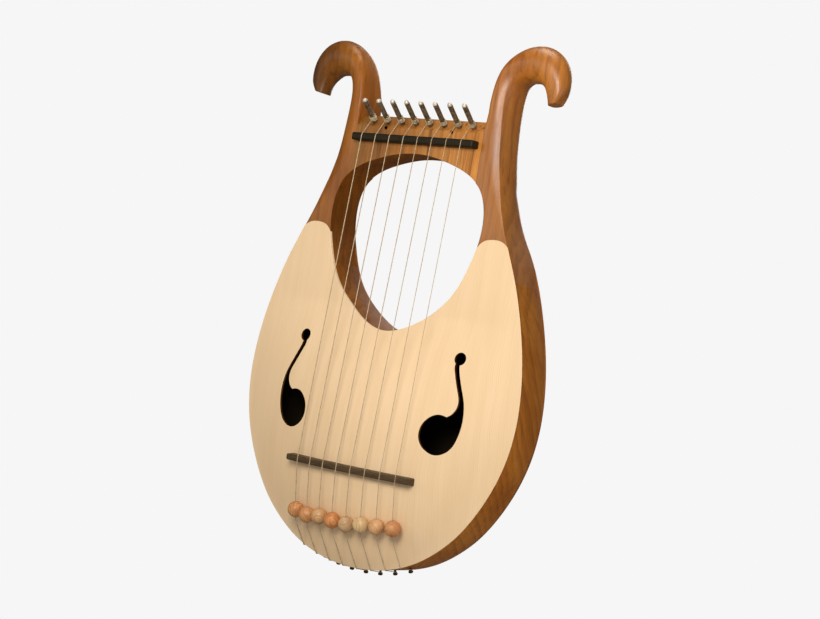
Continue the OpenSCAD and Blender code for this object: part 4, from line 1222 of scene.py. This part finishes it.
# ---------------------------------------------------------------- nut and bridge
NUT_H, NUT_Z, NUT_W = 11.5, 455.6, 4.1
nut_half = 80.5 * KX
S = []
xs = [0, .15, .45, .9, 1.5, 2.2, 3.0]
nx = np.array([-nut_half + v for v in xs] + list(np.linspace(-nut_half + 4.5, nut_half - 4.5, 60)) + [nut_half - v for v in xs[::-1]])
for x in nx:
    e = nut_half - abs(x)
    k = 1 - math.sqrt(max(0.0, 1 - (1 - e / 1.6) ** 2)) if e < 1.6 else 0.0
    hw = NUT_W - 1.3 * k
    hh = NUT_H - 1.5 * k
    P = round_poly([[0, NUT_Z - hw], [-hh, NUT_Z - hw], [-hh, NUT_Z + hw], [0, NUT_Z + hw]], [0.15, 2.0 - k, 2.0 - k, 0.15], 6)
    S.append(np.stack([np.full(len(P), x), P[:, 0], P[:, 1]], 1))
V, F = loft(row(np.array(S)))
nut = new_object("nut", V, F, [M_EBONY], smooth=40)
place(nut, "root", "nut_bar")

BRIDGE_Z, BRIDGE_W, BRIDGE_H = 103.0, 8.2, 10.3
STRING_X = [(k - 3.5) * 18.85 for k in range(8)]
STRING_R = [(1.1 + (0.7 - 1.1) * k / 7) / 2 for k in range(8)]


def bridge_top(x):
    return float(dome(x, BRIDGE_Z)) * 0.72 + float(dome(0, BRIDGE_Z)) * 0.28 + BRIDGE_H - 0.4


bh = 85.5 * KX
br = 80.2 * KX
bx = set(np.round(np.linspace(-bh + 3.2, br - 3.2, 90), 3))
for e in (0, 0.12, 0.4, 0.8, 1.4, 2.1, 2.8):
    bx |= {-bh + e, br - e}
for k in range(8):
    for d in (-1.2, -0.75, -0.55, -0.35, 0, 0.35, 0.55, 0.75, 1.2):
        bx.add(round(STRING_X[k] + d, 3))
bx = np.array(sorted(bx))
bx = bx[np.concatenate([[True], np.diff(bx) > 0.05])]
S = []
for x in bx:
    e = min(bh + x, br - x)
    k = 1 - math.sqrt(max(0.0, 1 - (1 - e / 3.0) ** 2)) if e < 3.0 else 0.0
    notch = max([0.0] + [0.5 * max(0.0, 1 - ((x - sx) / 0.7) ** 2) for sx in STRING_X])
    y_top = -bridge_top(x) + 3.4 * k + notch
    hw = BRIDGE_W / 2 - 0.7 * k
    zf, zb = BRIDGE_Z - hw, BRIDGE_Z + hw
    yf, yb = -float(dome(x, zf)) + 0.15, -float(dome(x, zb)) + 0.15
    r = min(1.5, 0.45 * (yf - y_top))
    tw = hw - 0.9
    P = round_poly([[yf, zf], [y_top, BRIDGE_Z - tw], [y_top, BRIDGE_Z + tw], [yb, zb]], [0.12, r, r, 0.12], 5)
    S.append(np.stack([np.full(len(P), x), P[:, 0], P[:, 1]], 1))
V, F = loft(row(np.array(S)))
place(new_object("bridge_bar", V, F, [M_BRIDGE], smooth=40), "root", "bridge")

# ---------------------------------------------------------------- beads
BEAD_Z = [49, 46.5, 48.5, 47.5, 46.5, 49.5, 51, 52.5]
BEAD_R, BORE_R, BEAD_GAP = 8.7, 1.4, 0.4
TILT = math.radians(14.5)
BEAD_DIR = np.array([0, -math.sin(TILT), math.cos(TILT)])


def bead_at(k):
    x, z = STRING_X[k], BEAD_Z[k]
    dz = float(dome(x, z + 1) - dome(x, z - 1)) / 2
    dx = float(dome(x + 1, z) - dome(x - 1, z)) / 2
    f = math.sqrt(1 + dx * dx + dz * dz)
    return np.array([x, -float(dome(x, z)) - (BEAD_R + BEAD_GAP) * f, z])


rnd = random.Random(5)
for k in range(8):
    prof = []
    a0 = math.asin((BORE_R + 0.45) / BEAD_R)
    for i in range(33):
        t = a0 + (math.pi - 2 * a0) * i / 32
        prof.append((BEAD_R * math.sin(t), -BEAD_R * math.cos(t)))
    zb = BEAD_R * math.cos(a0)
    prof += [(BORE_R + 0.18, zb - 0.12), (BORE_R, zb - 0.5), (BORE_R, 0.0), (BORE_R, -zb + 0.5), (BORE_R + 0.18, -zb + 0.12)]
    # hand-turned: very slightly out of round
    q = rnd.uniform(0.985, 1.0)
    prof = [(r * (1 if r < 2.2 else q), z) for r, z in prof]
    f = frame_at(bead_at(k), BEAD_DIR, [1, 0, 0])
    R = row(f(lathe(prof, 48)))
    V, F = loft(R, closed_path=True)
    b = new_object("bead_wood_%d" % (k + 1), V, F, [M_BEADS[k]], smooth=50)
    place(b, "bead_body_%d" % (k + 1), "bead_%d" % (k + 1))

# ---------------------------------------------------------------- hitch pins
HITCH_Y, HITCH_R, HITCH_OUT = 17.0, 1.3, 5.5


def hitch_dir(x):
    a = abs(x)
    lo, hi_ = max(a - 2, 0), a + 2
    s = math.atan2(float(rim_z(hi_) - rim_z(lo)), hi_ - lo) * (1 if x > 0 else -1)
    return np.array([math.sin(s), 0, -math.cos(s)])


parts = []
for k in range(8):
    x = STRING_X[k]
    o = hitch_dir(x)
    f = frame_at([x, HITCH_Y, float(rim_z(x))], o, [0, 1, 0])
    prof = [(1.0, -3.0), (HITCH_R, -2.6), (HITCH_R, HITCH_OUT - 3.1), (1.5, HITCH_OUT - 2.9), (2.2, HITCH_OUT - 2.6), (2.52, HITCH_OUT - 2.25),
            (2.6, HITCH_OUT - 1.8), (2.5, HITCH_OUT - 1.2), (2.15, HITCH_OUT - 0.6), (1.5, HITCH_OUT - 0.16), (0.6, HITCH_OUT)]
    V, F = loft(row(f(lathe(prof, 28))))
    parts.append((V, F))
V, F, M = join_parts(parts)
place(new_object("hitch_pin_heads", V, F, [M_HITCH], smooth=40), "root", "hitch_pins")

# ---------------------------------------------------------------- strings, windings and tuning pins
PIN_R, PIN_OUT, PIN_IN, WIND_H = 2.75, 33.0, 18.0, 3.4


def wind_r(k):
    return PIN_R + STRING_R[k] + 0.05


def pin_foot(k):
    return np.array([STRING_X[k] + wind_r(k), 4.0, SLOPE_Z + 4.0 * math.tan(SLOPE)])


for k in range(8):
    x, r = STRING_X[k], STRING_R[k]
    o = hitch_dir(x)
    t = np.array([-o[2], 0, o[0]])
    base = np.array([x, 0.0, float(rim_z(x))])
    hb = np.array([x, HITCH_Y, float(rim_z(x))])
    R = HITCH_R + r + 0.05
    c = bead_at(k)
    f = pin_foot(k) + PIN_DIR * WIND_H + LEFT * wind_r(k)
    loop = []
    for i in range(37):
        a = math.radians(285 - 8 * i)
        loop.append(hb + o * (2.2 + 0.35 * math.sin(i / 36 * math.pi) * (1 if i < 18 else 1)) + t * (R * math.cos(a)) + np.array([0, R * math.sin(a), 0]))
    Re = r + 0.12
    edge = [base + o * Re + np.array([0, 3.0, 0])]
    edge += [base + np.array([0, 0.45, 0]) + o * (Re * math.cos(a)) - np.array([0, Re * math.sin(a) + 0.45 * math.sin(a), 0]) for a in np.radians([0, 22, 45, 68, 85])]
    bt = bridge_top(x) + 0.02
    main = [c - BEAD_DIR * (BEAD_R + 4.4), c + BEAD_DIR * (BEAD_R + 4.4),
            np.array([x, -bt - 0.0, BRIDGE_Z - 3.2]), np.array([x, -bt, BRIDGE_Z + 3.2]),
            np.array([x, -NUT_H - r - 0.04, 453.9]), np.array([x, -NUT_H - r - 0.04, 457.2])]
    end = [f - UP_DIR * 3.0, f + UP_DIR * 0.6]
    P = list(loop) + list(edge) + list(round_path([edge[-1]] + main + end[:1] + [end[1]], [3.0, 3.0, 1.6, 1.6, 1.2, 1.2, 0.5], 5))[1:]
    Q = [P[0]]
    for p in P[1:]:
        if np.linalg.norm(p - Q[-1]) > 0.05:
            Q.append(p)
    V, F = tube(row(np.array(Q)), r * MM * 0.985, 12)
    s_o = new_object("string_wire_%d" % (k + 1), V, F, [M_STRING], smooth=60)
    place(s_o, "root", "string_%d" % (k + 1))

    # helix on the pin; the turns lie against each other, a little unevenly
    turns = 3.6
    n = int(turns * 40)
    pts = []
    wob = [rnd.uniform(-0.10, 0.10) for _ in range(6)]
    pitch = 2 * r + 0.75
    for i in range(n + 1):
        a = 2 * math.pi * turns * i / n
        u = i / n * 5
        w0 = wob[int(u)] if int(u) < 6 else 0
        w1 = wob[min(int(u) + 1, 5)]
        h = WIND_H + pitch * (a / (2 * math.pi)) + (w0 + (w1 - w0) * (u - int(u))) * pitch * min(1, 4 * i / n)
        rr = wind_r(k)
        if i > n - 8:
            rr -= (i - (n - 8)) / 8 * (r * 2 + 0.2)
        pts.append(pin_foot(k) + PIN_DIR * h + rr * (math.cos(a) * LEFT + math.sin(a) * UP_DIR))
    V, F = tube(row(np.array(pts)), r * MM, 12)
    w_o = new_object("string_coil_%d" % (k + 1), V, F, [M_COIL], smooth=60)
    place(w_o, "tuner_%d" % (k + 1), "winding_%d" % (k + 1))

    # tuning pin: round shank, squared and slightly tapered head, domed tip in a much lighter metal as a painted
    # highlight
    turn = rnd.uniform(-0.5, 0.5)
    fr = frame_at(pin_foot(k), PIN_DIR, [math.cos(turn), 0.2, 0])
    rings, M = [], []

    def squared(r_round, half, rc, m=48):
        out = []
        for i in range(m):
            a = 2 * math.pi * i / m
            d = np.array([math.cos(a), math.sin(a)])
            flat = half / max(abs(d[0]), abs(d[1]))
            out.append(d * min(r_round, flat))
        return np.array(out)
    stack = [(-PIN_IN, 2.2, 9), (-PIN_IN + 1.2, 2.7, 9), (-PIN_IN + 1.6, 2.75, 9)]
    stack += [(0.3, 2.75, 9), (0.9, 2.62, 9), (1.4, 2.75, 9), (13.6, 2.75, 9)]
    for i in range(7):
        q = i / 6
        stack.append((13.8 + 2.4 * q, 2.75, 2.75 - (2.75 - 2.45) * (q * q * (3 - 2 * q))))
    stack += [(22.0, 2.75, 2.43), (30.0, 2.74, 2.40), (30.6, 2.68, 2.40), (31.0, 2.56, 2.44), (31.3, 2.44, 9), (31.65, 2.32, 9), (32.05, 2.08, 9), (32.42, 1.72, 9), (32.73, 1.18, 9), (32.93, 0.6, 9)]
    for zz, rr, half in stack:
        P = squared(rr, half, 0.3)
        rings.append(np.column_stack([P, np.full(len(P), zz)]))
    V, F = loft(row(fr(np.array(rings))))
    fm = []
    m = 48
    tip_from = len(stack) - 9
    for i in range(len(stack) - 1):
        fm += [1 if i >= tip_from else 0] * m
    fm += [0, 1]
    pin = new_object("pin_%d" % (k + 1), V, F, [M_PIN, M_TIP_GLINT], smooth=30, face_mat=fm)
    place(pin, "tuner_%d" % (k + 1), "tuning_pin_%d" % (k + 1))

# ---------------------------------------------------------------- hidden solids keep their shape; the braces inside the body get near-black wood as painted shade, the crossbar dowels bare wood
for n_, m_ in (("upper_brace", M_INNER_SHADE), ("lower_brace", M_INNER_SHADE), ("back_braces", M_INNER_SHADE), ("crossbar_dowels", M_BRACE)):
    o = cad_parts[n_]
    if o.material_slots:
        for sl in o.material_slots:
            sl.material = m_
    else:
        o.data.materials.append(m_)
